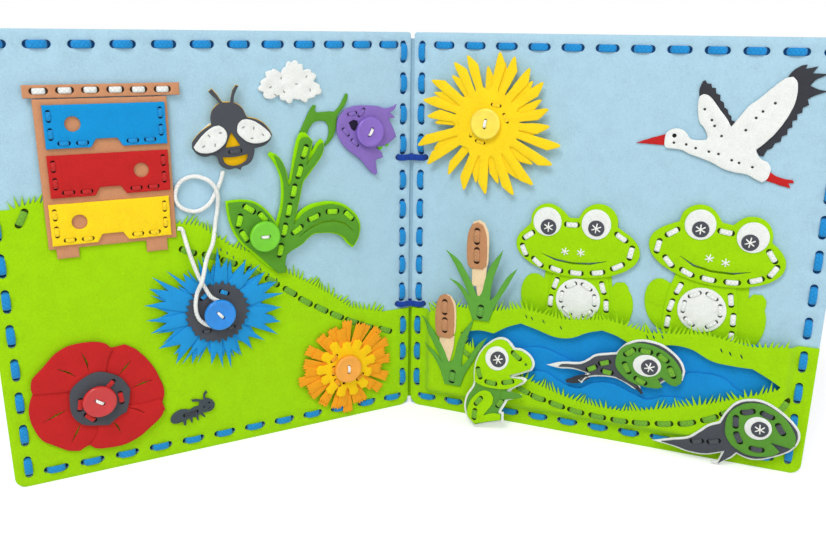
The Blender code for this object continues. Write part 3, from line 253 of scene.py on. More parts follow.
@functools.cache
def lace_material(colour):
    """Flat woven lace or thread: fine diagonal ribs in its own length and width, and soft colour change."""
    nodes = Nodes("lace_" + colour)
    base = linear(colour)
    uv = nodes.add("ShaderNodeTexCoord").outputs["UV"]
    where = nodes.add("ShaderNodeTexCoord").outputs["Object"]
    waves = []
    for turn in (0.75, -0.75):
        turned = nodes.add("ShaderNodeMapping")
        turned.inputs["Rotation"].default_value = (0, 0, turn)
        nodes.link(uv, turned.inputs["Vector"])
        wave = nodes.add("ShaderNodeTexWave", wave_type="BANDS", bands_direction="X")
        ribs = THREAD_RIBS if colour == "thread" else LACE_RIBS
        wave.inputs["Scale"].default_value = ribs / 6.283
        wave.inputs["Distortion"].default_value = 0.6
        wave.inputs["Detail"].default_value = 1
        nodes.link(turned.outputs["Vector"], wave.inputs["Vector"])
        waves.append(wave.outputs["Fac"])
    weave = nodes.maths("MULTIPLY", waves[0], waves[1])
    grain = nodes.noise(where, 900, 3, 0.6, 0.5)
    mix = nodes.maths("ADD", nodes.maths("MULTIPLY", weave, 0.45), nodes.maths("MULTIPLY", grain, 0.55))
    colours = nodes.ramp(mix, ((0.15, tone(base, 0.78)), (0.4, tone(base, 1.0)), (0.75, tone(base, 1.15))))
    nodes.link(colours, nodes.shader.inputs["Base Color"])
    normal = nodes.bump(weave, 0.00012, 0.7)
    normal = nodes.bump(grain, 0.00006, 0.4, normal)
    nodes.link(normal, nodes.shader.inputs["Normal"])
    nodes.set(Roughness=0.72, Specular_IOR_Level=0.25, Sheen_Weight=0.2, Sheen_Roughness=0.5)
    return nodes.material


@functools.cache
def button_material(colour):
    """Cast plastic: even colour with a faint cloud in it, glossy, with fine rub marks."""
    nodes = Nodes("plastic_" + colour)
    base = linear(colour)
    where = nodes.add("ShaderNodeTexCoord").outputs["Object"]
    cloud = nodes.noise(where, 190, 3, 0.5, 0.8)
    colours = nodes.ramp(cloud, ((0.3, tone(base, 0.94)), (0.7, tone(base, 1.06))))
    nodes.link(colours, nodes.shader.inputs["Base Color"])
    marks = nodes.noise(where, 2600, 4, 0.7, 0.2)
    rough = nodes.maths("MULTIPLY_ADD", marks, 0.16)
    rough.node.inputs[2].default_value = 0.24
    nodes.link(rough, nodes.shader.inputs["Roughness"])
    nodes.link(nodes.bump(marks, 0.00002, 0.25), nodes.shader.inputs["Normal"])
    nodes.set(Specular_IOR_Level=0.5, Coat_Weight=0.25, Coat_Roughness=0.12)
    return nodes.material


# Outlines

SHARP = 38.0  # turn in degrees from which a corner of an outline stays sharp
OUTER_CORNER = 5.0
SPINE_CORNER = 1.6
CORNER_STEPS = 8


def spread(points, step, corner_deg=SHARP):
    """Closed outline through the points, evenly stepped, smooth but for its sharp corners."""
    count = len(points)
    points = [Vector(p) for p in points]
    ways, lengths = [], []
    for i in range(count):
        way = points[(i + 1) % count] - points[i]
        lengths.append(max(way.length, 1e-6))
        ways.append(way.normalized())
    tangents = []
    for i in range(count):
        before, after = ways[i - 1], ways[i]
        turn = math.degrees(math.acos(max(-1.0, min(1.0, before.dot(after)))))
        if turn > corner_deg:
            tangents.append((before, after))
        else:
            mean = (before * lengths[i - 1] + after * lengths[i]).normalized()
            tangents.append((mean, mean))
    out = []
    for i in range(count):
        j = (i + 1) % count
        start, end, length = points[i], points[j], lengths[i]
        m0, m1 = tangents[i][1] * length, tangents[j][0] * length
        steps = max(1, math.ceil(length / step))
        for k in range(steps):
            t = k / steps
            out.append(
                start * (2 * t ** 3 - 3 * t ** 2 + 1) + m0 * (t ** 3 - 2 * t ** 2 + t)
                + end * (3 * t ** 2 - 2 * t ** 3) + m1 * (t ** 3 - t ** 2)
            )
    return [tuple(p) for p in out]


def area(points):
    return sum(
        a[0] * b[1] - b[0] * a[1] for a, b in zip(points, [*points[1:], points[0]])
    ) / 2


def cad_outlines(node, place):
    """Front outlines of a flat CAD node in millimetres of its page, the outer one first."""
    shape = bmesh.new()
    shape.from_mesh(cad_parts[node].data)
    shape.transform(place.inverted())
    bmesh.ops.remove_doubles(shape, verts=shape.verts, dist=0.002)
    shape.verts.index_update()
    shape.faces.index_update()
    shape.normal_update()
    front = {f.index: f.normal.z > 0.5 for f in shape.faces}
    following = {}
    for edge in shape.edges:
        linked = [f for f in edge.link_faces if front[f.index]]
        if len(edge.link_faces) == 2 and len(linked) == 1:
            for loop in linked[0].loops:
                if loop.edge == edge:
                    following[loop.vert.index] = loop.link_loop_next.vert.index
    shape.verts.ensure_lookup_table()
    outlines = []
    while following:
        start, current = next(iter(following.items()))
        chain = [start]
        del following[start]
        while current != start and current in following:
            chain.append(current)
            current = following.pop(current)
        outlines.append([tuple(shape.verts[i].co.xy) for i in chain])
    shape.free()
    return sorted(outlines, key=lambda o: -abs(area(o)))


def circle(x, y, radius, steps, squash=1.0, turn=0.0):
    c, s = math.cos(turn), math.sin(turn)
    out = []
    for i in range(steps):
        u, v = radius * math.cos(math.tau * i / steps), radius * squash * math.sin(math.tau * i / steps)
        out.append((x + u * c - v * s, y + u * s + v * c))
    return out


def sliver(start, end, width):
    """Thin cut in a sheet, pointed at both ends."""
    a, b = Vector(start), Vector(end)
    side = Vector((a.y - b.y, b.x - a.x)).normalized() * width / 2
    return [tuple(p) for p in (a, a.lerp(b, 0.3) - side, a.lerp(b, 0.7) - side, b,
                               a.lerp(b, 0.7) + side, a.lerp(b, 0.3) + side)]


def bent_cut(points, width):
    """Thin cut along a bent line."""
    points = [Vector(p) for p in points]
    left, right = [], []
    for i, p in enumerate(points):
        way = (points[min(i + 1, len(points) - 1)] - points[max(i - 1, 0)]).normalized()
        side = Vector((-way.y, way.x)) * width / 2 * (0.15 if i in (0, len(points) - 1) else 1)
        left.append(tuple(p + side))
        right.append(tuple(p - side))
    return right + left[::-1]


def rounded_box(x0, y0, x1, y1, radius):
    corners = ((x1 - radius, y0 + radius, -90), (x1 - radius, y1 - radius, 0),
               (x0 + radius, y1 - radius, 90), (x0 + radius, y0 + radius, 180))
    return [
        (x + radius * math.cos(math.radians(start + 90 * i / CORNER_STEPS)),
         y + radius * math.sin(math.radians(start + 90 * i / CORNER_STEPS)))
        for x, y, start in corners
        for i in range(CORNER_STEPS + 1)
    ]


def page_outline(low, high, left):
    """Outline of a page: round at its outer corners, nearly square at the spine."""
    low_radius, high_radius = (OUTER_CORNER, SPINE_CORNER) if left else (SPINE_CORNER, OUTER_CORNER)
    at_low = rounded_box(low, 0, high, PAGE, low_radius)
    at_high = rounded_box(low, 0, high, PAGE, high_radius)
    half = len(at_low) // 2
    return at_high[:half] + at_low[half:]


def grown(points, distance):
    """Outline moved outwards by a distance, or inwards by a negative one."""
    points = [Vector(p) for p in points]
    count = len(points)
    sign = 1 if area(points) > 0 else -1
    out = []
    for i in range(count):
        before = (points[i] - points[i - 1]).normalized()
        after = (points[(i + 1) % count] - points[i]).normalized()
        normal = Vector((before.y + after.y, -before.x - after.x))
        normal = normal.normalized() if normal.length > 1e-6 else Vector((before.y, -before.x))
        reach = max(normal.dot(Vector((before.y, -before.x))), 0.6)
        out.append(tuple(points[i] + normal * sign * distance / reach))
    return out


def turned(points, centre, degrees, scale=1.0):
    c, s = math.cos(math.radians(degrees)) * scale, math.sin(math.radians(degrees)) * scale
    return [
        (centre[0] + (x - centre[0]) * c - (y - centre[1]) * s,
         centre[1] + (x - centre[0]) * s + (y - centre[1]) * c)
        for x, y in points
    ]


# Felt sheets

FAR = 4.0  # beyond this distance of an outline its exact distance doesn't matter
BATCH = 256  # spots measured at once
EDGE_SHARES = (1.0, 0.7, 0.4, 0.2, 0.1)
RING_SHARES = (1.0, 0.6, 0.35, 0.18, 0.08)


def segment_distances(spots, loops):
    """Distance of each spot to the nearest side of the outlines, or a large number if it is far."""
    starts = np.concatenate([np.array(loop) for loop in loops])
    ends = np.concatenate([np.roll(np.array(loop), -1, axis=0) for loop in loops])
    along = ends - starts
    size = np.maximum((along ** 2).sum(1), 1e-12)
    nearest = np.full(len(spots), 1e9)
    for first in range(0, len(spots), BATCH):
        part = spots[first:first + BATCH]
        near = np.maximum(starts, ends) >= part.min(0) - FAR
        near &= np.minimum(starts, ends) <= part.max(0) + FAR
        near = near.all(1)
        if not near.any():
            continue
        away = part[:, None, :] - starts[None, near]
        t = np.clip((away * along[None, near]).sum(2) / size[near], 0, 1)
        gaps = away - t[..., None] * along[None, near]
        nearest[first:first + BATCH] = np.sqrt((gaps ** 2).sum(2).min(1))
    return nearest


def inside(spots, loops):
    """Whether each spot lies in the sheet, by the even-odd rule."""
    result = np.zeros(len(spots), bool)
    for loop in loops:
        a = np.array(loop)
        b = np.roll(a, -1, axis=0)
        for (x0, y0), (x1, y1) in zip(a, b):
            if y0 == y1:
                continue
            crosses = (y0 > spots[:, 1]) != (y1 > spots[:, 1])
            at = x0 + (spots[:, 1] - y0) * (x1 - x0) / (y1 - y0)
            result ^= crosses & (spots[:, 0] < at)
    return result


def inner_ring(loop, loops, radius):
    """Points of a loop moved into the sheet for its rounded edge, less where the sheet is narrow."""
    points = np.array(loop)
    before = points - np.roll(points, 1, axis=0)
    after = np.roll(points, -1, axis=0) - points
    before /= np.maximum(np.linalg.norm(before, axis=1, keepdims=True), 1e-9)
    after /= np.maximum(np.linalg.norm(after, axis=1, keepdims=True), 1e-9)
    way = before + after
    short = np.linalg.norm(way, axis=1) < 1e-6
    way[short] = after[short]
    way /= np.linalg.norm(way, axis=1, keepdims=True)
    normal = np.stack([-way[:, 1], way[:, 0]], 1)
    best = points + normal * 0.01
    settled = np.zeros(len(points), bool)
    for share in RING_SHARES:
        todo = np.flatnonzero(~settled)
        if not len(todo):
            break
        trial = points[todo] + normal[todo] * radius * share
        clear = segment_distances(trial, loops) >= 0.85 * radius * share
        todo, trial = todo[clear], trial[clear]
        if not len(todo):
            continue
        beyond = points[todo] + normal[todo] * radius * share * 1.6
        clear = segment_distances(beyond, loops) >= 0.5 * radius * share
        best[todo[clear]] = trial[clear]
        settled[todo[clear]] = True
    return best


def oriented(outline, holes):
    """Loops of a sheet: its outline anticlockwise and its holes clockwise."""
    loops = []
    for index, loop in enumerate([outline, *holes]):
        loop = [tuple(p) for p in loop]
        loops.append(loop if (area(loop) > 0) == (index == 0) else loop[::-1])
    return loops


def filling_points(outline, rings, grid):
    """Points on a loose grid inside a sheet, a little away from its edges."""
    box = np.array(outline)
    (x0, y0), (x1, y1) = box.min(0), box.max(0)
    chance = random.Random(sum(len(ring) for ring in rings))
    columns = max(2, int((x1 - x0) / grid))
    rows = max(2, int((y1 - y0) / grid))
    filling = np.array([
        (x0 + (i + 0.5 + chance.uniform(-0.2, 0.2)) * (x1 - x0) / columns,
         y0 + (j + 0.5 + chance.uniform(-0.2, 0.2)) * (y1 - y0) / rows)
        for i in range(columns) for j in range(rows)
    ])
    filling = filling[inside(filling, rings)]
    if len(filling):
        filling = filling[segment_distances(filling, rings) > 0.25 * grid]
    return filling


def add_edge(points, polygons, loop, ring, anchor, count, low, high, radius):
    """Adds the rounded edge of one loop, from its points on the top to the same ones on the bottom."""
    size = len(loop)
    rounds = [anchor]
    for surface, share, away in (
        (high, 0.29, -0.29), (high, 0.0, -1.0), (low, 0.0, 1.0), (low, 0.29, 0.29),
    ):
        first = len(points)
        for i in range(size):
            x, y = np.array(loop[i]) * (1 - share) + np.array(ring[i]) * share
            points.append((x, y, surface(x, y) + away * radius))
        rounds.append(range(first, first + size))
    rounds.append([i + count for i in anchor])
    for upper, lower in zip(rounds, rounds[1:]):
        for i in range(size):
            j = (i + 1) % size
            face = [upper[i], lower[i], lower[j], upper[j]]
            face = [v for k, v in enumerate(face) if v != face[k - 1]]
            if len(set(face)) >= 3:
                polygons.append(list(dict.fromkeys(face)))


def slab_geometry(outline, holes, low, high, radius, grid):
    """Points and faces of a sheet with soft rounded edges between two height functions."""
    loops = oriented(outline, holes)
    rings = [inner_ring(loop, loops, radius) for loop in loops]
    coords, edges, starts = [], [], []
    for ring in rings:
        first = len(coords)
        starts.append(first)
        coords += [Vector(p) for p in ring]
        edges += [(first + i, first + (i + 1) % len(ring)) for i in range(len(ring))]
    coords += [Vector(p) for p in filling_points(outline, rings, grid)]
    verts, _, faces, origin, _, _ = delaunay_2d_cdt(coords, edges, [], 1, 1e-5)
    where = {source: index for index, sources in enumerate(origin) for source in sources}
    flat = np.array([tuple(v) for v in verts])
    middles = np.array([flat[list(face)].mean(0) for face in faces])
    faces = [face for face, solid in zip(faces, inside(middles, rings)) if solid]
    used = sorted({i for face in faces for i in face})
    number = {old: new for new, old in enumerate(used)}
    count = len(used)
    points = [
        (flat[i][0], flat[i][1], surface(*flat[i])) for surface in (high, low) for i in used
    ]
    polygons = []
    for face in faces:
        corners = [number[i] for i in face]
        if area([points[i][:2] for i in corners]) < 0:
            corners = corners[::-1]
        polygons.append(corners)
        polygons.append([i + count for i in corners[::-1]])
    for start, loop, ring in zip(starts, loops, rings):
        size = len(loop)
        anchor = [number.get(where.get(start + i, -1), -1) for i in range(size)]
        if min(anchor) < 0:
            anchor = [
                a if a >= 0 else next(anchor[i - k] for k in range(size) if anchor[i - k] >= 0)
                for i, a in enumerate(anchor)
            ]
        add_edge(points, polygons, loop, ring, anchor, count, low, high, radius)
    return points, polygons


def is_closed(polygons):
    """Whether each edge has exactly two faces."""
    seen = {}
    for polygon in polygons:
        for a, b in zip(polygon, [*polygon[1:], polygon[0]]):
            key = (min(a, b), max(a, b))
            seen[key] = seen.get(key, 0) + 1
    return all(times == 2 for times in seen.values())


def slab_mesh(name, outline, holes, low, high, radius, grid):
    """Closed mesh of a sheet in millimetres; its edge is rounded less if it would cross in a narrow tip."""
    for share in EDGE_SHARES:
        points, polygons = slab_geometry(outline, holes, low, high, radius * share, grid)
        if is_closed(polygons):
            break
    mesh = bpy.data.meshes.new(name)
    mesh.from_pydata(points, [], polygons)
    mesh.validate()
    mesh.update()
    return mesh


# Pieces


def finish_piece(piece, body, nodes, material, smooth_deg=50):
    """Puts a piece drawn in millimetres of a page into the frame, and says what it rides on."""
    piece.data.transform(PLACES[body])
    piece.data.materials.clear()
    piece.data.materials.append(material)
    piece.data.shade_smooth()
    piece.data.set_sharp_from_angle(angle=math.radians(smooth_deg))
    bpy.context.scene.collection.objects.link(piece)
    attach(piece, body)
    if nodes:
        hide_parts(*nodes)
    return piece


def ripple(seed, size=26.0, height=0.07):
    """Faint unevenness of a felt sheet."""
    def rise(x, y):
        return height * noise.noise(Vector((x / size, y / size, seed * 7.31)))
    return rise


def felt(
    name, body, outline, low, colour, nodes=(), holes=(), thick=FELT, lift=None, radius=0.28, grid=4.0,
    seed=None,
):
    """One piece cut from felt. The outline and holes are final points; low is its underside."""
    rise = ripple(len(name) if seed is None else seed)
    bend = lift or (lambda x, y: 0.0)
    mesh = slab_mesh(
        name, outline, list(holes), lambda x, y: low + rise(x, y) + bend(x, y),
        lambda x, y: low + thick + rise(x, y) + bend(x, y), radius, grid,
    )
    piece = bpy.data.objects.new(name, mesh)
    finish_piece(piece, body, nodes, felt_material(colour))
    return piece


# Laces and threads

STITCH_DEPTH = 0.75  # of a stitch's ends below the felt's surface
STITCH_RISE = 0.28   # of its middle above that
SHADE_DISC_SPREAD = 1.06  # size of the painted shade disc in a hole, in sizes of the hole


def oval(width, thick, sides):
    """Cross-section of a flat lace."""
    out = []
    for i in range(sides):
        angle = math.tau * i / sides
        c, s = math.cos(angle), math.sin(angle)
        u = width / 2 * math.copysign(abs(c) ** 0.75, c)
        v = thick / 2 * math.copysign(abs(s) ** 0.75, s)
        out.append((u, v))
    return out


def add_strap(shape, uv, path, across, width, thick, sides=10, closed=False):
    """Adds a flat lace along a path; across holds its width direction, and widths can change."""
    rings = []
    travelled = 0.0
    count = len(path)
    for i, point in enumerate(path):
        before = path[i - 1] if i or closed else point
        after = path[(i + 1) % count] if i < count - 1 or closed else point
        way = (after - before).normalized()
        side = across[i] if isinstance(across, list) else across
        side = (side - way * side.dot(way)).normalized()
        rise = way.cross(side) * -1
        if i:
            travelled += (point - path[i - 1]).length
        w = width[i] if isinstance(width, list) else width
        t = thick[i] if isinstance(thick, list) else thick
        rings.append([
            (shape.verts.new(point + side * u + rise * v), travelled, k * (w + t) * 2 / sides)
            for k, (u, v) in enumerate(oval(w, t, sides))
        ])
    pairs = list(zip(rings, rings[1:]))
    if closed:
        pairs.append((rings[-1], rings[0]))
    for a, b in pairs:
        for k in range(sides):
            m = (k + 1) % sides
            corners = (a[k], a[m], b[m], b[k])
            face = shape.faces.new([c[0] for c in corners])
            for loop, corner in zip(face.loops, corners):
                loop[uv].uv = (corner[1] * MM, (corner[2] if corner is not a[0] or k else 0) * MM)
    if not closed:
        shape.faces.new([c[0] for c in rings[0]][::-1])
        shape.faces.new([c[0] for c in rings[-1]])


def new_shape():
    shape = bmesh.new()
    return shape, shape.loops.layers.uv.new("UVMap")


def mesh_of(name, shape):
    """Mesh of a closed shape, with its faces turned outwards."""
    bmesh.ops.recalc_face_normals(shape, faces=shape.faces)
    mesh = bpy.data.meshes.new(name)
    shape.to_mesh(mesh)
    shape.free()
    return mesh


def shape_piece(name, shape, body, nodes, material):
    return finish_piece(bpy.data.objects.new(name, mesh_of(name, shape)), body, nodes, material)


def both_ways(half, middle):
    """Profile that is the same on both sides of its middle."""
    return [*half, middle, *((-along, *rest) for along, *rest in reversed(half))]


def stitch_path(x, y, degrees, length, top):
    """Path of one stitch that comes up through one hole and goes down the other, and its width direction."""
    way = Vector((math.cos(math.radians(degrees)), math.sin(math.radians(degrees)), 0))
    half = length / 2
    profile = both_ways(
        (
            (-1.0, -STITCH_DEPTH), (-0.98, -STITCH_DEPTH * 0.35), (-0.9, 0.05), (-0.72, STITCH_RISE * 0.75),
            (-0.4, STITCH_RISE),
        ),
        (0, STITCH_RISE * 1.08),
    )
    path = [Vector((x, y, 0)) + way * half * u + Vector((0, 0, top + n)) for u, n in profile]
    return path, Vector((-way.y, way.x, 0))


def painted_hole_shade(name, body, holes, height, colour, lift=None):
    """Painted shade: a dark disc in a darkened copy of a felt's colour, at the bottom of each hole where its
    shade falls.
    """
    shape, _ = new_shape()
    for loop in holes:
        x = sum(p[0] for p in loop) / len(loop)
        y = sum(p[1] for p in loop) / len(loop)
        level = height + (lift(x, y) if lift else 0)
        ring = [
            shape.verts.new((x + (a - x) * SHADE_DISC_SPREAD, y + (b - y) * SHADE_DISC_SPREAD, level)) for a, b in loop
        ]
        poles = [shape.verts.new((x, y, level + rise)) for rise in (0.04, -0.08)]
        for i, corner in enumerate(ring):
            following = ring[(i + 1) % len(ring)]
            shape.faces.new((corner, following, poles[0]))
            shape.faces.new((following, corner, poles[1]))
    return shape_piece(name, shape, body, (), felt_material("deep_" + colour))


def chain_angles(points):
    """Adds to each point of a row of stitches the direction that the row runs there."""
    out = []
    for i, (x, y) in enumerate(points):
        a, b = points[max(i - 1, 0)], points[min(i + 1, len(points) - 1)]
        out.append((x, y, math.degrees(math.atan2(b[1] - a[1], b[0] - a[0]))))
    return out


def star(shape, uv, x, y, top, radius, width, arms, turn):
    """Embroidered star of crossing stitches."""
    profile = both_ways(((-1, -0.3), (-0.93, 0.05), (-0.7, 0.22)), (0, 0.3))
    for i in range(arms):
        angle = math.radians(turn + 180 * i / arms)
        way = Vector((math.cos(angle), math.sin(angle), 0))
        lift = 0.12 * i
        path = [
            Vector((x, y, top)) + way * radius * u + Vector((0, 0, n + lift * (1 - abs(u))))
            for u, n in profile
        ]
        add_strap(shape, uv, path, Vector((-way.y, way.x, 0)), width, 0.4, 8)


# Page sheets and their lacing

SPINE_STITCHES = [
    190.5, 175.3, 160.1, 144.9, 126.4, 111.2, 96.0, 80.8, 65.6, 47.1, 31.9, 16.7,
]
STITCHES = {
    **dict.fromkeys(("foot", "outer"), [9.5 + i * (PAGE - 27) / 11 for i in range(12)]),
    "top": [15.0 + i * (PAGE - 25.5) / 11 for i in range(12)],
    "spine": SPINE_STITCHES,
}
LEFT_TOP_STITCHES = [11.5, 26, 40.5, 55.5, 71, 87, 103.5, 120, 137, 153.5, 170.5, 187]
TIE_HEIGHTS = [138.4, 59.3]
TIE_INSET = 6.2
TIE_HOLE = 1.5
SPINE_EDGE = 0.65   # of a sheet beyond its page's inner edge
INSET = 6.0         # of the border lace from a page's edges
SPINE_INSET = 3.6   # and from its edge at the spine
REACH = 3.75        # from a lacing stitch's middle to its holes
HOLE = 1.65
LACE_WIDTH = 3.3
LACE_THICK = 0.95
LACE_BACK = -SHEET - 0.75


def stitch_rows(left):
    """Sides of a page with their stitches' places along them, and the lace's distance from spine or foot."""
    rows = dict(STITCHES)
    if left:
        rows["top"] = LEFT_TOP_STITCHES
    levels = {"foot": INSET, "outer": PAGE - INSET, "top": PAGE - INSET, "spine": SPINE_INSET}
    return {side: (places, levels[side]) for side, places in rows.items()}


def mirror(u, left):
    return PAGE - u if left else u


def lacing_holes(left, keep=lambda u, v: True):
    """Holes of the border lace, at both ends of each of its stitches."""
    loops = []
    for side, (places, level) in stitch_rows(left).items():
        for place in places:
            if side in ("foot", "top"):
                middle, way = (place, level), (1, 0)
            else:
                middle, way = (level, place), (0, 1)
            if not keep(*middle):
                continue
            for end in (-1, 1):
                u, v = middle[0] + way[0] * end * REACH, middle[1] + way[1] * end * REACH
                loops.append(circle(mirror(u, left), v, HOLE, 18))
    return loops


def lace_profile(top):
    """Places along a lacing stitch, with the lace's height and its share of the full width there."""
    return both_ways(
        (
            (-5.6, LACE_BACK, 1), (-4.6, LACE_BACK + 0.15, 0.96), (-3.9, LACE_BACK + 0.9, 0.9),
            (-3.6, -0.9, 0.88), (-3.45, top * 0.5 - 0.1, 0.9), (-3.15, top + 0.28, 0.95),
            (-2.5, top + 0.62, 1), (-1.2, top + 0.78, 1.03),
        ),
        (0, top + 0.8, 1.03),
    )


def border_lace(name, body, left, raised, node):
    """One flat lace that goes in and out all round a page."""
    order = (
        ("foot", 1, (0, 1)), ("outer", 1, (-1, 0)), ("top", -1, (0, -1)), ("spine", -1, (1, 0)),
    )
    corners = {
        "foot": (PAGE - INSET, INSET), "outer": (PAGE - INSET, PAGE - INSET),
        "top": (SPINE_INSET, PAGE - INSET), "spine": (SPINE_INSET, INSET),
    }
    path, sides, widths = [], [], []
    rows = stitch_rows(left)
    for index, (side, sense, inward) in enumerate(order):
        places, level = rows[side]
        across = Vector((-inward[0] if left else inward[0], inward[1], 0))
        for middle in sorted(places, reverse=sense < 0):
            u, v = (middle, level) if side in ("foot", "top") else (level, middle)
            for offset, height, share in lace_profile(raised(u, v)):
                along = middle + sense * offset
                at = (along, level) if side in ("foot", "top") else (level, along)
                path.append(Vector((mirror(at[0], left), at[1], height)))
                sides.append(across)
                widths.append(LACE_WIDTH * share)
        path.append(Vector((mirror(corners[side][0], left), corners[side][1], LACE_BACK)))
        following = order[(index + 1) % len(order)][2]
        mixed = Vector(((inward[0] + following[0]), inward[1] + following[1], 0)).normalized()
        sides.append(Vector((-mixed.x if left else mixed.x, mixed.y, 0)))
        widths.append(LACE_WIDTH)
    shape, uv = new_shape()
    add_strap(shape, uv, path, sides, widths, LACE_THICK, 12, closed=True)
    return shape_piece(name, shape, body, (node,), lace_material("lace_blue"))


def page_sheet(name, body, left, node):
    holes = lacing_holes(left)
    for height in TIE_HEIGHTS:
        holes.append(circle(mirror(TIE_INSET, left), height, TIE_HOLE, 16))
    # painted shade at the bottom of the lacing and tie holes; the disc also stops light through the sheet
    painted_hole_shade(name + "_shade_discs", body, holes, -1.0, "lace_blue")
    low, high = (0, PAGE + SPINE_EDGE) if left else (-SPINE_EDGE, PAGE)
    outline = spread(page_outline(low, high, left), 1.6)
    rise = ripple(3 if left else 4, 60.0, 0.05)
    mesh = slab_mesh(
        name, outline, holes, lambda x, y: -SHEET + rise(x, y), lambda x, y: rise(x, y), 0.45, 6.0,
    )
    return finish_piece(bpy.data.objects.new(name, mesh), body, (node,), felt_material("sky"))


def under(line, x, y):
    """Whether a lacing stitch lies on a grass sheet."""
    for start, end in zip(line, line[1:]):
        if start[0] <= x <= end[0]:
            return y < start[1] + (end[1] - start[1]) * (x - start[0]) / (end[0] - start[0])
    return False


def on_grass(u, v):
    return under([(0, 127.5), (100, 105), (184, 54), (200, 54)], PAGE - u, v)


def on_meadow(u, v):
    return under([(0, 54), (187, 64.5), (200, 64.5)], u, v)


page_sheet("left_page_sheet", "left_page", True, "left_sheet")
page_sheet("right_page_sheet", "right_page", False, "right_sheet")
for _side, _on_green in (("left", on_grass), ("right", on_meadow)):
    border_lace(
        _side + "_page_lace", _side + "_page", _side == "left",
        lambda u, v: FELT + GAP if _on_green(u, v) else 0.0, _side + "_border_lace",
    )


# Helpers for the pieces

def cad(node, place, step, corner_deg=SHARP):
    """Outline of a CAD node, smoothed between its sharp corners."""
    return spread(cad_outlines(node, place)[0], step, corner_deg)


WEAR = 0.1


def worn(points, seed):
    """Outline with the faint unevenness of a hand-cut edge."""
    out = []
    for x, y in points:
        a = noise.noise(Vector((x / 2.2, y / 2.2, seed * 3.7)))
        b = noise.noise(Vector((x / 2.2, y / 2.2, seed * 3.7 + 50)))
        out.append((x + a * WEAR, y + b * WEAR))
    return out


def seed_of(name):
    return sum(ord(letter) * (i + 1) for i, letter in enumerate(name)) % 97


def cut_out(name, node, body, count, colour, holes=(), step=0.7, **more):
    """Felt piece with the outline of its CAD node, on felt layer number count."""
    return felt(
        name, body, worn(cad(node, PLACES[body], step), seed_of(name)), layer(count), colour, (node,), holes,
        seed=seed_of(name), **more
    )


def cut_shape(
    name, body, outline, low, thick, colour, nodes=(), holes=(), step=0.6, corner_deg=SHARP, **more
):
    """Felt piece with an outline drawn here, smoothed between its sharp corners."""
    return felt(
        name, body, worn(spread(outline, step, corner_deg), seed_of(name)), low, colour, nodes, holes,
        thick=thick, seed=seed_of(name), **more
    )


def sewn(name, body, colour, spots, top, length, width=2.1, thick=0.75, lift=None, under=None):
    """Stitches of one colour on one body, at (x, y, degrees), with painted shade in their holes in a darker
    copy of the felt under them, or else of their own colour. Returns the holes they need in their felt.
    """
    shape, uv = new_shape()
    holes = []
    reach = length / 2 + 0.12
    for x, y, degrees in spots:
        path, side = stitch_path(x, y, degrees, length, top + (lift(x, y) if lift else 0))
        add_strap(shape, uv, path, side, width, thick)
        c, s = math.cos(math.radians(degrees)), math.sin(math.radians(degrees))
        holes += [circle(x + end * reach * c, y + end * reach * s, width * 0.54, 14) for end in (-1, 1)]
    shape_piece(name, shape, body, (), lace_material(colour))
    # painted shade at the bottom of the stitches' holes
    painted_hole_shade(name + "_shade_discs", body, holes, top - 0.6, under or colour, lift)
    return holes


BUTTON_RADIUS = 7.5
BUTTON_THICK = 2.6
BUTTON_HOLE = 0.85
BUTTON_HOLE_REACH = 1.75  # of its two holes from its middle
BUTTON_STEPS = 64
BUTTON_PROFILE = [
    (0.0, BUTTON_THICK - 0.45), (2.8, BUTTON_THICK - 0.42), (4.6, BUTTON_THICK - 0.3),
    (5.6, BUTTON_THICK - 0.12), (6.3, BUTTON_THICK), (6.75, BUTTON_THICK - 0.02),
    (7.15, BUTTON_THICK - 0.22), (7.42, BUTTON_THICK - 0.62), (BUTTON_RADIUS, BUTTON_THICK - 1.15),
    (7.42, BUTTON_THICK - 1.7), (7.1, BUTTON_THICK - 2.15), (6.5, BUTTON_THICK - 2.5), (5.6, 0.0),
    (1.2, 0.0),
]


def button_blank(name):
    """Mesh of a button with a rounded rim, before its holes are drilled."""
    shape = bmesh.new()
    shape.loops.layers.uv.new("UVMap")
    rings = []
    for r, z in BUTTON_PROFILE:
        if r == 0:
            rings.append([shape.verts.new((0, 0, z))] * BUTTON_STEPS)
            continue
        angles = [math.tau * i / BUTTON_STEPS for i in range(BUTTON_STEPS)]
        rings.append([shape.verts.new((r * math.cos(a), r * math.sin(a), z)) for a in angles])
    for a, b in zip(rings, rings[1:]):
        for i in range(BUTTON_STEPS):
            j = (i + 1) % BUTTON_STEPS
            shape.faces.new(list(dict.fromkeys((a[i], b[i], b[j], a[j]))))
    shape.faces.new(rings[-1])
    return mesh_of(name, shape)


def drill_button(button, x, y):
    bpy.ops.mesh.primitive_cylinder_add(
        vertices=24, radius=BUTTON_HOLE, depth=6, location=(x, y, BUTTON_THICK - 0.5)
    )
    drill = bpy.context.object
    modifier = button.modifiers.new("hole", "BOOLEAN")
    modifier.operation = "DIFFERENCE"
    modifier.solver = "EXACT"
    modifier.object = drill
    bpy.context.view_layer.update()
    drilled = bpy.data.meshes.new_from_object(button.evaluated_get(bpy.context.evaluated_depsgraph_get()))
    button.modifiers.clear()
    button.data = drilled
    bpy.data.objects.remove(drill, do_unlink=True)


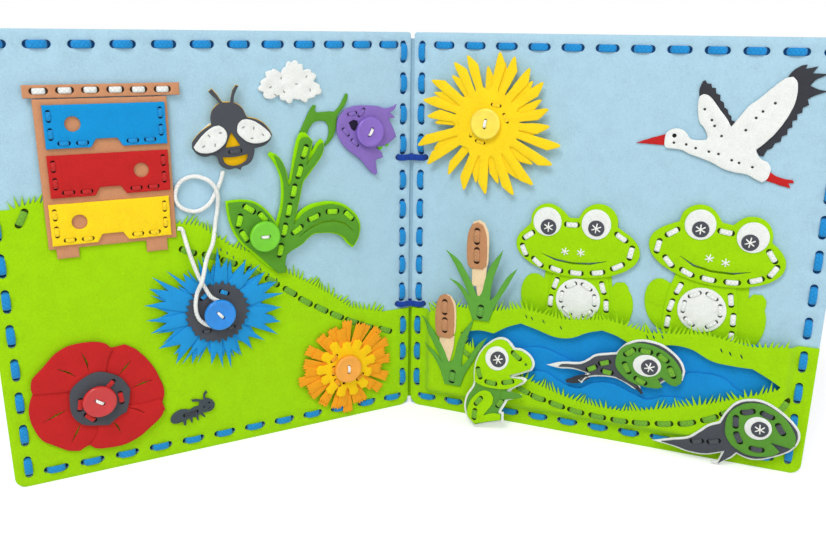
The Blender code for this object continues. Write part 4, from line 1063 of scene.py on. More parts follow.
def button_thread(name, body, x, y, height, way):
    """Three threads through a button's holes along a way, and the shank that holds it on."""
    shape, uv = new_shape()
    side = Vector((-way.y, way.x, 0))
    profile = both_ways(
        (
            (-BUTTON_HOLE_REACH, -0.4), (-BUTTON_HOLE_REACH, 1.4), (-1.68, 2.05), (-1.4, 2.5), (-0.8, 2.72),
        ),
        (0, 2.78),
    )
    for shift in (-0.42, 0.0, 0.42):
        path = [
            Vector((x, y, height)) + way * u + side * shift * (0.7 + 0.3 * math.cos(u)) + Vector((0, 0, n))
            for u, n in profile
        ]
        add_strap(shape, uv, path, side, 0.62, 0.6, 8)
    shank = [Vector((x, y, height - 1.6 + 0.4 * i)) for i in range(6)]
    add_strap(shape, uv, shank, side, 2.0, 2.0, 14)
    shape_piece(name, shape, body, (), lace_material("thread"))


def disc_button(name, x, y, height, degrees, colour, node, body):
    """Plain sewn button with a rounded rim, two holes and one loop of thread."""
    button = bpy.data.objects.new(name, button_blank(name))
    bpy.context.scene.collection.objects.link(button)
    c, s = math.cos(math.radians(degrees)), math.sin(math.radians(degrees))
    for end in (-1, 1):
        drill_button(button, end * BUTTON_HOLE_REACH * c, end * BUTTON_HOLE_REACH * s)
    bpy.context.scene.collection.objects.unlink(button)
    button.data.transform(Matrix.Translation((x, y, height)))
    finish_piece(button, body, (node,), button_material(colour), 35)
    button_thread(name + "_thread", body, x, y, height, Vector((c, s, 0)))


def fingers(centre, tips, root, root_width, tip_width, end):
    """Outline of a flower of narrow petals. Each tip is (degrees, reach); end is the profile of a tip."""
    tips = sorted(tips)
    middle = Vector(centre)
    out = []
    for i, (degrees, reach) in enumerate(tips):
        following = tips[(i + 1) % len(tips)][0] + (360 if i == len(tips) - 1 else 0)
        before = tips[i - 1][0] - (360 if i == 0 else 0)
        a = math.radians(degrees)
        way, side = Vector((math.cos(a), math.sin(a))), Vector((-math.sin(a), math.cos(a)))
        left, right = (
            min(root_width / 2, 0.42 * math.radians(gap) * (root + 1.5))
            for gap in (following - degrees, degrees - before)
        )
        out.append(middle + way * (root + 1.5) - side * right)
        for share, fall in end:
            out.append(middle + way * (reach - fall) + side * share * tip_width / 2)
        out.append(middle + way * (root + 1.5) + side * left)
        valley = math.radians((degrees + following) / 2)
        out.append(middle + Vector((math.cos(valley), math.sin(valley))) * root)
    return [tuple(p) for p in out]


SHALLOW = 0.74


def petalled(centre, petals, root):
    """Outline of a flower from the tips of each petal, cut in deep between petals and less in them."""
    middle = Vector(centre)
    out = []
    for i, petal in enumerate(petals):
        tips = [Vector(tip) for tip in petal]
        for k, tip in enumerate(tips):
            out.append(tip)
            if k < len(tips) - 1:
                between = (tip + tips[k + 1]) / 2 - middle
                out.append(middle + between * SHALLOW)
        following = Vector(petals[(i + 1) % len(petals)][0])
        valley = (tips[-1] - middle).normalized() + (following - middle).normalized()
        out.append(middle + valley.normalized() * root)
    return [tuple(p) for p in out]


BLADE_HEIGHT = 5.2
BLADE_PITCH = 2.1


def blades(line, seed):
    """Edge of grass cut into blades along a line with the grass below it."""
    chance = random.Random(seed)
    edge = []
    along = 0.0
    for start, end in zip(line, line[1:]):
        start, end = Vector(start), Vector(end)
        way = (end - start).normalized()
        up = (Vector((-way.y, way.x)) + Vector((0, 1))).normalized()
        count = max(1, round((end - start).length / BLADE_PITCH))
        for i in range(count):
            along += BLADE_PITCH
            lean = 0.55 * math.sin(along / 3.6 + seed) + chance.uniform(-0.05, 0.05)
            height = BLADE_HEIGHT * chance.choice((0.35, 0.55, 0.7, 0.85, 1.0))
            edge.append(start.lerp(end, (i + 0.08) / count))
            edge.append(start.lerp(end, (i + 0.45) / count) + (up + way * lean) * height)
            edge.append(start.lerp(end, (i + 0.82) / count))
    return [tuple(p) for p in edge]


def grass_sheet(line, seed):
    """Outline of a sheet that covers the foot of a page up to a line of grass blades."""
    radius = OUTER_CORNER
    corner = [math.radians(-22.5 * i) for i in range(5)]
    right = [(PAGE - radius + radius * math.cos(a), radius + radius * math.sin(a)) for a in corner]
    left = [(radius - radius * math.cos(a), radius + radius * math.sin(a)) for a in corner[::-1]]
    top = [line[0], *blades(line[1:-1], seed), line[-1]]
    return spread([*top, *right, *left], 0.8, 25)


def fine(points, step=0.8):
    """Straight-sided outline with points close enough together for its rounded edge."""
    out = []
    for a, b in zip(points, [*points[1:], points[0]]):
        a, b = Vector(a), Vector(b)
        count = max(1, math.ceil((b - a).length / step))
        out += [tuple(a.lerp(b, k / count)) for k in range(count)]
    return out


def eye_piece(name, body, white, pupil, top, turn):
    """White felt oval, grey pupil and an embroidered star on it."""
    x, y, rx, ry, tilt = white
    outline = circle(x, y, rx, 44, ry / rx, math.radians(tilt))
    felt(name + "_white", body, outline, top, "white", thick=0.5, radius=0.2, grid=3, seed=seed_of(name))
    px, py, r = pupil
    felt(
        name + "_pupil", body, worn(circle(px, py, r, 32), 3), top + 0.51, "pupil", thick=0.28,
        radius=0.12, grid=3,
    )
    shape, uv = new_shape()
    star(shape, uv, px, py, top + 0.79, r * 0.62, 0.62, 3, turn)
    shape_piece(name + "_star", shape, body, (), lace_material("thread"))


# Left page: grass and hive

GRASS_LINE = [
    (0, 127.5), (12, 127.5), (22, 130), (50, 122), (80, 115), (90, 113), (95, 109), (105, 101),
    (115, 97), (125, 88), (135, 83), (145, 77), (155, 70), (165, 62), (184, 56.5), (200, 56.5),
]


def grass_piece():
    spots = [
        (16, 123.5, 62), (84, 101.5, -25), (94.5, 98, -20), (103, 94, -24), (124, 81.5, -38), (133, 75, -36),
        (141, 68.7, -35), (149.5, 63.5, -32), (158, 58.5, -30), (166.5, 54, -26), (175, 50, -26),
        (186, 46, -24), (115, 87.5, -38),
    ]
    holes = sewn(
        "grass_stitches", "left_page", "stitch_green", spots, layer(0) + FELT, 5.8, 2.9, under="lime"
    )
    cuts = [
        sliver((x, y), (x + 0.5, y - 2.0), 0.7)
        for x, y in (
            (99, 101.5), (102, 99.5), (105, 97), (110, 94.5), (113.5, 92), (118, 89.4), (122, 86.3),
            (126, 83.2),
        )
    ]
    felt(
        "grass_sheet", "left_page", grass_sheet(GRASS_LINE, 5), layer(0), "lime", ("grass",),
        lacing_holes(True, on_grass) + holes + cuts, grid=4.5, seed=11,
    )


def drawer(name, node, colour, middle, half):
    """Pocket front of the hive with its finger hole, notch and self-coloured stitches in pairs."""
    outline = cad(node, LEFT, 0.7, 25)
    x, y = middle
    spots = []
    for side in (-1, 1):
        spots += [(x + side * (half - 2.2), y + 4.4, 90), (x + side * (half - 2.3), y - 3.0, 90)]
        spots += [(x + side * (half - 7.2), y - 6.9, 0), (x + side * (half - 14.5), y - 7.0, 0)]
    holes = sewn(name + "_stitches", "left_page", colour, spots, layer(2) + FELT, 3.2, 1.7, 0.6)
    finger = []
    for loop in cad_outlines(node, LEFT)[1:]:
        box = np.array(loop)
        finger.append(circle(*((box.min(0) + box.max(0)) / 2), 3.2, 32))
    felt(
        name, "left_page", worn(outline, seed_of(name)), layer(2), colour, (node,), holes + finger,
        grid=4.0, seed=seed_of(name),
    )


def hive():
    cut_out("hive_back", "hive_board", "left_page", 1, "tan")
    roof = [
        (28, 175.6, 0), (38, 175.7, 0), (48, 175.7, 0), (58, 175.6, 0), (67.5, 175.4, 0), (77.5, 175.3, 0),
    ]
    holes = sewn("roof_stitches", "left_page", "white", roof, layer(1) + FELT, 4.4, 2.5, 0.9, under="tan")
    cut_out("hive_top", "hive_roof", "left_page", 1, "tan", holes=holes)
    for level, colour, middle, half in (
        ("upper", "blue", (53, 161), 24.7), ("middle", "red", (52.8, 140.3), 24.75),
        ("lower", "yellow", (51.6, 119.7), 25.0),
    ):
        drawer(level + "_drawer", "hive_%s_drawer" % level, colour, middle, half)


def scalloped(points, waves, depth):
    """Outline with a row of small round bumps along it."""
    size = len(points)
    middle = Vector((sum(p[0] for p in points) / size, sum(p[1] for p in points) / size))
    out = []
    for i, point in enumerate(points):
        away = (Vector(point) - middle).normalized()
        out.append(tuple(Vector(point) + away * depth * (abs(math.sin(math.pi * waves * i / size)) - 0.5)))
    return out


def puffed(name, body, outline, low, thick, dips, colour, nodes=(), height=0.7, reach=3.0):
    """Soft white piece that bulges between its quilting stitches."""
    def puff(x, y):
        near = min(math.hypot(x - a, y - b) for a, b in dips)
        return height * min(1.0, near / reach) ** 0.7

    shape, uv = new_shape()
    for i, (x, y) in enumerate(dips):
        star(shape, uv, x, y, low + thick + 0.02, 0.7, 0.5, 1, 30 + 50 * i)
    # the stitches are real; their grey colour is painted shade for the dimples they pull in
    shape_piece(name + "_stitches", shape, body, (), lace_material("dimple_thread_shade"))
    mesh = slab_mesh(
        name, worn(spread(outline, 0.6), seed_of(name)), [], lambda x, y: low,
        lambda x, y: low + thick + puff(x, y), 0.4, 0.9,
    )
    piece = bpy.data.objects.new(name, mesh)
    finish_piece(piece, body, nodes, felt_material(colour))


def cloud_piece():
    dips = [
        (126.5, 175), (131.8, 179), (133, 172.8), (139.2, 176.2), (144.3, 179.5), (146, 173.3),
        (128.8, 171.5),
    ]
    outline = scalloped(cad("cloud", LEFT, 0.5, 60), 19, 1.3)
    puffed("cloud_puff", "left_page", outline, layer(0), FELT, dips, "white", ("cloud",))


ANT = [
    (70.2, 17.6), (69.9, 19.2), (70.8, 21), (72.6, 22.6), (74.8, 23.4), (77.2, 23.2), (79.6, 22.6),
    (81.4, 23.4), (83.6, 23.6), (84.2, 24.4), (84.3, 25.6), (82.6, 26.2), (80.9, 26.4), (80.6, 27.6),
    (82.6, 27.4), (84.8, 26.7), (86.2, 26.3), (86.3, 28.2), (86.9, 30), (88, 30.8), (88.4, 29.9),
    (87.4, 28.8), (87.2, 26.9), (88.6, 26.7), (90.6, 25.4), (91.6, 23.4), (91.3, 21.2), (89.8, 19.9),
    (87.6, 19.5), (85.4, 19.6), (86.8, 17.4), (86.2, 17), (84.2, 19), (83.4, 18.6), (83.3, 15.9),
    (82.7, 16.1), (82.2, 18.2), (80.4, 18.2), (80.3, 15.4), (79.7, 15.5), (78.9, 18), (77.6, 17.6),
    (77, 14.8), (76.2, 14.7), (75.8, 17), (73.4, 16.5), (71.4, 16.8),
]


def ant_piece():
    holes = sewn("ant_stitch", "left_page", "feather", [(79.8, 20.4, 8)], layer(1) + FELT, 5.6, 1.7, 0.6)
    dots = [circle(89, 24.2, 0.5, 10), circle(86.4, 22.5, 0.45, 10)]
    dots.append(bent_cut([(88, 21.4), (88.9, 21.3), (89.7, 21.9)], 0.45))
    # painted shade at the bottom of the holes in the ant's face
    painted_hole_shade("ant_face", "left_page", dots, layer(1) + 0.3, "grey")
    cut_shape("ant_cut", "left_page", ANT, layer(1), FELT, "ant", ("ant",), [*holes, *dots], 0.4)


# Left page: plant, bell, bee

PLANT_FRONT = [
    (130.2, 86), (130.3, 91), (131, 94.8), (134, 97), (139, 99.5), (142.5, 102.5), (145.5, 104.2),
    (150, 104.2), (155, 103.8), (159, 102.5), (162, 100.5), (164.5, 97.5), (166.7, 95.5), (169.3, 100),
    (170, 105), (168.5, 109.5), (164.5, 114), (160, 116.8), (155, 118), (150, 117.8), (145, 116.8),
    (141, 115), (138, 112.5), (135.3, 109.5), (136.2, 114), (138, 121), (140.3, 130), (143.5, 134.6),
    (147, 138.4), (149.8, 142), (151.4, 145.6), (151.3, 148.4), (149.6, 147.6), (146, 142.6),
    (142.6, 138.3), (144.2, 144), (145.6, 149.4), (144, 151.3), (141.2, 151.4), (139.8, 150.4),
    (138, 144.5), (136.2, 137.5), (134.4, 130.2), (133.2, 128.6), (132.6, 132), (131.6, 137),
    (129.4, 141.6), (126.4, 144), (128, 139), (130.2, 133), (130.8, 126), (130, 119), (128.4, 113),
    (127.2, 108.4), (125.5, 111.5), (123, 115), (119.5, 119), (115.5, 121.7), (111, 122.8), (106, 123),
    (103.4, 122.8), (103.8, 118), (105, 112.3), (107, 107.5), (110, 103), (115, 98), (120, 92.8),
    (124, 88.5), (126.6, 86),
]
PLANT_RIM = [
    (128.5, 88), (130.9, 94), (134, 96.2), (139.4, 98.7), (143.2, 101.8), (146, 103.4), (150, 103.5),
    (155, 103), (158.6, 101.8), (161.4, 99.8), (164, 96.4), (166.8, 94.2), (168.8, 96.5), (170.6, 100.5),
    (171.2, 105.5), (169.6, 110.4), (165.2, 115), (160.4, 118), (155, 119.4), (150, 119.4), (145, 118.8),
    (141, 117.2), (137.4, 114.4), (136.4, 112.4), (139, 121), (141.2, 129.6), (144.6, 133.8), (148, 138),
    (150.8, 141.6), (152.2, 145.6), (152, 149), (150.4, 150.4), (148, 148), (145.6, 144.5), (146.4, 149.6),
    (144.4, 151.8), (142.8, 153.6), (140.8, 153.8), (139.2, 152.6), (137.6, 148.5), (136, 142), (134.6, 135),
    (133.6, 131), (132.6, 136), (130.8, 140.6), (128, 143.8), (124.6, 145.6), (123.6, 144), (125.6, 141.6),
    (128, 137), (129.4, 132), (129.7, 126), (128.8, 119), (127.2, 113.5), (126.6, 111.5), (124, 115.6),
    (120.2, 119.8), (116, 122.6), (111, 123.8), (106, 124), (102.4, 123.8), (102.8, 118), (104, 112),
    (106, 107), (109, 102.4), (114, 97.4), (119, 92.2), (123.4, 88.4),
]
BELL_STALK = [
    (139.5, 150), (140, 153), (142, 157), (144, 161), (146, 164.5), (147.5, 166.3), (149, 166),
    (148.3, 163.7), (149.2, 162.8), (152, 162.8), (156, 163), (158.5, 162.8), (161, 165.3), (163, 168.5),
    (164.3, 171.2), (165.5, 171), (165.3, 168.5), (163.8, 165.3), (161.5, 162.8), (159.8, 160.5),
    (159.5, 157.5), (158.8, 154), (157.5, 150.5), (155.5, 148), (153.2, 146.3), (152.5, 146.9), (154, 149),
    (155.2, 152.5), (155, 156), (153.5, 158.3), (150.5, 158.7), (147.5, 157.8), (145.5, 155.5), (144, 152.5),
    (143.6, 150),
]
BELL = [
    (159, 155), (159.3, 151.8), (161, 148.2), (164, 144.7), (168, 141.5), (172, 138.3), (175, 134.7),
    (177.5, 132), (179.8, 130.6), (180.8, 131.4), (180.3, 134.5), (179.9, 138.2), (182, 138.8),
    (184.2, 139.4), (183.2, 141.8), (181.2, 143.6), (180, 144.7), (184, 145), (188, 146.8), (191.3, 149.3),
    (190.4, 152), (188.5, 156), (186.8, 158.4), (190.8, 158.8), (188.8, 160.6), (188, 161.4),
    (190.2, 162.8), (191.7, 165.4), (188.5, 164.1), (185, 163.6), (181.5, 164.6), (176, 165.3),
    (168, 165.2), (163.5, 163.8), (160.6, 160.6), (159.2, 157.5),
]
STAMENS = [
    (176, 158), (186, 157.6), (188.6, 157.2), (188.3, 156), (186.4, 155), (187, 147), (187.8, 145.2),
    (186.6, 144.4), (184.6, 146), (183.9, 143.4), (182.2, 142.6), (181, 147), (176, 148),
]


def plant():
    cut_shape("plant_rim", "left_page", PLANT_RIM, layer(1), FELT, "lime_bright", ("plant_backing",))
    upper = [(113.3, 119.3, -35), (108.2, 113.9, 75), (119.9, 114.5, -52), (110.4, 106.4, -60)]
    stem = [
        (127.8, 97.5, 78), (130.3, 107.3, 76), (132.8, 116.9, 76), (135.6, 126, 76), (138.8, 135.3, 72),
        (141.7, 144.6, 70),
    ]
    leaf = [(136.9, 106.8, 32), (145.7, 112.2, 20), (155.6, 114.3, -3), (164.4, 111.3, -45)]
    holes = sewn(
        "plant_stitches", "left_page", "lime_bright", upper + stem + leaf, layer(2) + FELT, 4.6, 2.6,
        under="green",
    )
    vein = [(138, 103.4), (143, 106.8), (149, 109.2), (156, 109.6), (162, 107.6), (166.6, 103.4)]
    slit = bent_cut(vein, 0.7)
    cut_shape(
        "plant_leaf", "left_page", PLANT_FRONT, layer(2), FELT, "green", ("plant_front",), [*holes, slit]
    )
    disc_button("leaf_button", 119.5, 106, layer(4), 0, "leaf_button", "plant_button", "left_page")


def bell():
    cut_shape("bell_stalk", "left_page", BELL_STALK, layer(0), FELT, "green", ("bell_stem",))
    cut_shape("bell_stamens", "bellflower_bloom", STAMENS, layer(0), FELT, "bright_green")
    spots = [(167.3, 161.6, 8), (172.2, 161.9, 50), (163.8, 152.8, -48), (168.6, 147.4, -40)]
    holes = sewn("bell_stitches", "bellflower_bloom", "purple", spots, layer(1) + FELT, 3.4, 1.7, 0.6)
    cuts = [
        spread([(165.3, 157.4), (167.8, 158.6), (170, 158), (170.6, 155.6), (168.8, 153), (167, 154)], 0.5),
        circle(176.0, 152.5, 1.8, 20),
    ]
    # painted shade in darkened purple at the bottom of the bloom's cut opening
    painted_hole_shade("bell_hole", "bellflower_bloom", cuts[:1], layer(1) + 0.1, "purple")
    cut_shape(
        "bell_bloom", "bellflower_bloom", BELL, layer(1), FELT, "purple", ("bellflower",), holes + cuts,
        corner_deg=28,
    )
    disc_button("bell_button", 176.0, 152.5, layer(2), 60, "lilac", "bellflower_button", "left_page")


BEE_OUTLINE = [
    (97.2, 173.8), (98.6, 174.9), (100.6, 172.6), (102.2, 170.2), (103.2, 169), (105.5, 168.9),
    (106.8, 169), (107.3, 171.5), (108.2, 174.3), (109.6, 176.4), (110.9, 176), (109.9, 174.3),
    (108.6, 171.6), (108.3, 168.6), (110.5, 167.6), (112.5, 165.6), (113.6, 163), (114.4, 161.9),
    (117, 161.4), (121, 159.6), (124.2, 156.5), (125.8, 153.6), (124.6, 150.8), (122, 148.8),
    (119, 148), (117.2, 147.6), (116.9, 145.5), (115.9, 142.6), (113.6, 140.4), (110.8, 139.4),
    (110, 138), (108, 139), (105, 138.6), (102.4, 139.4), (100.3, 141.6), (99.3, 144.6), (97.5, 145.6),
    (94, 145), (90.6, 146.3), (88.3, 149.3), (88.7, 151.8), (91.5, 155.2), (94.6, 157.6), (97.6, 159.2),
    (97.4, 162), (98.2, 165.2), (100.2, 167.5), (102, 168.6), (100.2, 170.6), (98.4, 172.4),
]
BEE_WINGS = [
    [
        (88.9, 149.7), (91, 152.5), (94.5, 156), (98, 158.3), (100.8, 158.9), (103, 157.5), (104.3, 154.9),
        (103.8, 152), (102, 149.6), (99, 147.6), (95.5, 146.7), (92, 147), (89.6, 148.2),
    ],
    [
        (109.1, 156.5), (109.8, 159.3), (111.7, 161), (114.3, 161.1), (117.5, 160), (121.2, 157.5),
        (124, 155), (125, 153), (123.5, 151.3), (120.5, 150.2), (117, 150), (113.5, 151), (110.8, 153.2),
        (109.3, 155),
    ],
]
BEE_DIMPLES = [
    [(93.3, 149.9), (98.5, 150.2), (96, 154.5), (101.2, 155.6)],
    [(112, 157.7), (116.8, 157), (121.1, 153.8), (115.8, 152.5)],
]


def bee():
    """Grey bee with puffed white wings, a smile and an amber layer behind it."""
    back = grown(cad("bee_wings", LEFT, 0.7), -0.8)
    felt("bee_back_wings", "bee", back, layer(0), "white", ("bee_wings",))
    outline = spread(BEE_OUTLINE, 0.6, 45)
    amber = [(x + 0.35, y + 0.2) for x, y in outline]
    felt("bee_amber", "bee", amber, layer(1), "amber", ("bee_backing",))
    triangle = fine([(106.5, 155.6), (103.4, 148.5), (110.6, 149.2)], 0.7)
    smile = spread([
        (101.9, 144.4), (105, 144.2), (108.5, 144.3), (112, 144.9), (114.2, 145.2), (113, 142.2),
        (110.3, 140.7), (107, 140.1), (104.2, 140.8), (102.5, 142.4),
    ], 0.6)
    holes = sewn("bee_stitch", "bee", "grey", [(108, 146.75, 5)], layer(2) + FELT, 4.6, 1.7, 0.7)
    felt(
        "bee_grey", "bee", worn(outline, 4), layer(2), "grey", ("bee_body",), [triangle, smile, *holes],
        grid=2.5, radius=0.22,
    )
    for i, wing in enumerate(BEE_WINGS):
        puffed(
            "bee_wing_%d" % i, "bee", wing, layer(3) - 0.26, 0.6, BEE_DIMPLES[i], "white", (), 0.55, 3.6
        )


# Left page: flowers

POPPY_AXIS = (38.5, 37.3)
CORNFLOWER_CENTRE = (95.3, 71.0)
MARIGOLD_CENTRE = (161.7, 30.0)
ABOVE_CORD = 7.4  # underside of the cornflower's button, which the bee's cord is looped under
SHANK_HOLE = 1.8


def flower_felt(name, body, centre, outline, low, thick, colour, nodes=(), holes=(), **more):
    """Layer of a flower that turns round the shank of its button."""
    shank = circle(*centre, SHANK_HOLE, 20)
    return felt(
        name, body, worn(outline, seed_of(name)), low, colour, nodes, [shank, *holes], thick=thick,
        seed=seed_of(name), **more
    )


POPPY_PETALS = [
    [
        (11.5, 45), (11, 48), (12, 52), (17, 57), (22, 62), (28, 65), (36, 65.5), (43, 64), (46.5, 60.5),
        (43.6, 54), (42.5, 47), (41.5, 34.5), (34, 34.5), (27, 43.5), (18, 44.2),
    ],
    [
        (42, 62.6), (46, 61), (52, 61.5), (57, 58), (63, 50), (66, 43), (68, 35), (66.3, 28), (56, 26.5),
        (45, 28), (35, 33), (36, 42), (39, 52),
    ],
    [
        (66, 31.6), (67.5, 26), (65, 22), (60, 18), (55, 14.5), (48, 12), (40, 12), (35, 13), (32.8, 15),
        (36.6, 22), (36.5, 41), (42, 41), (51, 31.5), (58, 31),
    ],
    [
        (37, 14), (33, 15), (28, 13), (23, 14.5), (18, 18), (13, 22), (10, 29), (9, 36), (10, 41),
        (12.5, 47.5), (24, 48), (33, 42), (41.5, 39), (41.5, 28),
    ],
]
POPPY_SLITS = [
    [((22.5, 55), (30, 50)), ((33.5, 60.5), (35.5, 51.8))],
    [((54, 53), (48, 46.8)), ((63, 41.8), (53.4, 39.6))],
    [((58, 26), (51, 30.4)), ((46.5, 18.5), (43.5, 25))],
    [((25, 18), (29.8, 26.6)), ((14.5, 30.5), (25, 34.6))],
]
POPPY_CENTRE = [
    (38, 51), (44, 49.5), (49, 46), (52.5, 40), (51.5, 34), (50, 29), (45, 26.5), (42, 24), (36, 25),
    (30, 27), (26.5, 32), (26, 38), (27, 44), (31, 48),
]


def poppy():
    centre = POPPY_AXIS
    for i, (petal, slits) in enumerate(zip(POPPY_PETALS, POPPY_SLITS)):
        low = (2.95, 2.2)[i % 2]
        cuts = [bent_cut([a, ((a[0] + b[0]) / 2 + 0.4, (a[1] + b[1]) / 2 + 0.3), b], 0.75) for a, b in slits]
        flower_felt(
            "poppy_petal_%d" % i, "poppy", centre, spread(petal, 0.7), low, 0.7, "red",
            ("poppy_petals",) if i == 0 else (), cuts,
        )
    spots = [(43.5, 43.8, 40), (30.3, 36.5, 80), (48, 36.5, 95), (34, 29.5, -45)]
    holes = sewn(
        "poppy_stitches", "poppy", "red", spots, layer(3) + FELT, 4.2, 2.2, 0.8, under="grey"
    )
    flower_felt(
        "poppy_middle", "poppy", centre, spread(POPPY_CENTRE, 0.6), layer(3), FELT, "grey",
        ("poppy_centre",), holes,
    )


CORNFLOWER_PETALS = [
    [(101.5, 96.5), (97, 102.5)], [(91, 93.5), (87.5, 98.5)], [(80.5, 92), (73, 94)],
    [(66.3, 92), (65, 86.5), (62, 78.7)], [(62.5, 71.5), (64, 65)], [(67, 57), (74.3, 48)],
    [(77.3, 47.5), (84.5, 49.5)], [(91, 44.6), (96.5, 42)], [(100.5, 41), (105, 47)],
    [(111.5, 49), (118, 52.5)], [(125, 54.5), (126.6, 61), (127.3, 68.6)],
    [(128.5, 75.6), (125.5, 82), (119.5, 87.6)], [(117, 91.5), (110.5, 95)],
]


def cornflower():
    centre = CORNFLOWER_CENTRE
    for i, (low, turn, scale) in enumerate(((2.3, 14.0, 0.9), (3.0, 0.0, 1.0))):
        outline = spread(petalled(centre, CORNFLOWER_PETALS, 14.5 * scale), 0.7, 20)
        flower_felt(
            "cornflower_layer_%d" % i, "cornflower", centre, turned(outline, centre, turn, scale), low, 0.62,
            "cornflower", ("cornflower_petals",) if i == 0 else (),
        )
    spots = [(89.3, 79.9, 40), (98.9, 80.4, -25)]
    holes = sewn(
        "cornflower_stitches", "cornflower", "cornflower", spots, layer(3) + FELT, 3.2, 2.0, 0.3, under="grey"
    )
    low = [(89.6, 62.4, 0), (101.2, 62.6, 0)]
    holes += sewn("cornflower_low_stitches", "cornflower", "grey", low, layer(3) + FELT, 2.6, 1.6, 0.6)
    chance = random.Random(8)
    teeth = []
    for k in range(30):
        for turn, radius in ((0, 13.8 + chance.uniform(-0.4, 0.4)), (0.1, 15.4 + chance.uniform(-0.8, 0.6))):
            angle = math.tau * k / 30 + turn
            teeth.append((centre[0] + radius * math.cos(angle), centre[1] + radius * math.sin(angle)))
    flower_felt(
        "cornflower_middle", "cornflower", centre, fine(teeth, 0.7), layer(3), FELT, "grey",
        ("cornflower_centre",), holes,
    )


def marigold():
    centre = MARIGOLD_CENTRE
    chance = random.Random(5)
    end = [
        (-0.86, 5), (-1.0, 0.9), (-0.72, 0.0), (-0.5, 1.1), (-0.2, 0.0), (0.08, 1.0), (0.4, -0.2),
        (0.68, 0.9), (0.98, 0.3), (0.88, 5),
    ]
    for i, (low, count, phase, reach) in enumerate(((2.7, 17, 0, 26.0), (3.28, 13, 12, 23.6))):
        tips = [
            (360 * k / count + phase + chance.uniform(-3, 3), reach + chance.uniform(-2.4, 1.2))
            for k in range(count)
        ]
        outline = fine(fingers(centre, tips, 12.5, 4.2, 5.8, end), 0.8)
        flower_felt(
            "marigold_fringe_%d" % i, "marigold", centre, outline, low, 0.55, "orange",
            ("marigold_petals",) if i == 0 else (),
        )
    tips = [
        (360 / 13 * k + 8 + chance.uniform(-1.5, 1.5), 16.4 + chance.uniform(-1.8, 1.2)) for k in range(13)
    ]
    end = [(-0.95, 2.2), (-0.8, 0.9), (-0.5, 0.9), (-0.1, 0.0), (0.3, 0.7), (0.6, 0.5), (0.95, 1.9)]
    spots = [(154.7, 36.4, 45), (154.2, 29.4, 88), (156.4, 22.4, -55), (169.3, 23.4, 40)]
    holes = sewn(
        "marigold_stitches", "marigold", "orange", spots, layer(3) + FELT, 3.6, 1.8, 0.7, under="gold"
    )
    outline = fine(fingers(centre, tips, 11.3, 4.6, 5.6, end), 0.7)
    dot = circle(160.0, 21.6, 0.9, 12)
    # painted shade: a darkened red disc at the bottom of the hole in the marigold's middle
    painted_hole_shade("marigold_dot", "marigold", [dot], layer(3) + 0.3, "red")
    flower_felt(
        "marigold_middle", "marigold", centre, outline, layer(3), FELT, "gold", ("marigold_centre",),
        [*holes, dot],
    )


grass_piece()
hive()
cloud_piece()
ant_piece()
plant()
bell()
bee()
poppy()
cornflower()
marigold()
disc_button("poppy_disc", *POPPY_AXIS, layer(4), -35, "button_red", "poppy_button", "left_page")
disc_button(
    "cornflower_disc", *CORNFLOWER_CENTRE, ABOVE_CORD, -50, "button_blue", "cornflower_button", "left_page"
)
disc_button("marigold_disc", *MARIGOLD_CENTRE, layer(4), 90, "button_orange", "marigold_button", "left_page")

# Right page

SLOPE_START = 8.3
SLOPE = 4.4


def lifted(low, high):
    """Rise of a felt from layer low at the laced border to layer high over the pond."""
    def rise(x, y):
        share = max(0.0, min(1.0, (min(x, PAGE - x, y) - SLOPE_START) / SLOPE))
        return (layer(high) - layer(low)) * share * share * (3 - 2 * share)
    return rise


MEADOW_LINE = [
    (0, 57), (13, 57), (20, 62), (45, 62), (62, 66), (85, 63), (105, 66), (125, 62), (150, 65), (172, 62),
    (187, 64), (200, 64),
]
WINDOW_TOP = [
    (30, 48.5), (40, 51), (48, 50.5), (55, 55), (62, 58), (70, 56), (80, 53.3), (88, 54), (96, 58),
    (103, 60.3), (110, 58.5), (118, 55), (126, 54), (135, 57.5), (145, 57), (155, 52.5), (165, 51.5),
    (173, 51.5), (180, 48), (186, 44.5),
]
WINDOW_FOOT = [
    (31, 43), (40, 39), (50, 34), (65, 28), (75, 25), (85, 22), (95, 20), (105, 19), (115, 19), (125, 21),
    (135, 24), (145, 27), (155, 30), (165, 34), (175, 38), (185, 42.5),
]


def meadow_piece():
    window = spread([*WINDOW_TOP, *blades(WINDOW_FOOT, 8)[::-1]], 0.8, 25)
    spots = chain_angles([
        (73, 18.7), (83, 16.5), (93, 14.8), (104, 14), (115, 13.8), (125.5, 14.5), (136.5, 16.3), (147, 18.7),
        (157, 23), (165, 28),
    ]) + [(188, 34.5, 60), (33, 37.5, -35), (56, 26, -28), (65, 21.6, -24)]
    holes = sewn(
        "meadow_stitches", "right_page", "stitch_green", spots, layer(0) + FELT, 5.8, 2.9,
        lift=lifted(0, 4), under="lime",
    )
    cuts = [
        sliver((x, 61 + d), (x + 1.2, 58.6 + d), 0.7)
        for x, d in (
            (64, 2.2), (67, 1.6), (73, 0.8), (82, -1.2), (124, 0.2), (127, 0.6), (131, 1.4), (158, -1.4),
            (162, -2.4), (167, -3),
        )
    ]
    felt(
        "meadow_sheet", "right_page", grass_sheet(MEADOW_LINE, 3), layer(0), "lime", ("meadow",),
        lacing_holes(False, on_meadow) + [window] + holes + cuts, lift=lifted(0, 4), grid=1.7, seed=19,
    )


def waves():
    for count, node in ((1, "pond_water"), (2, "middle_wave"), (3, "front_wave")):
        felt(
            node + "_felt", "right_page", worn(cad(node, RIGHT, 1.0, 50), count), layer(count), "pond",
            (node,), grid=5.0, seed=20 + count,
        )


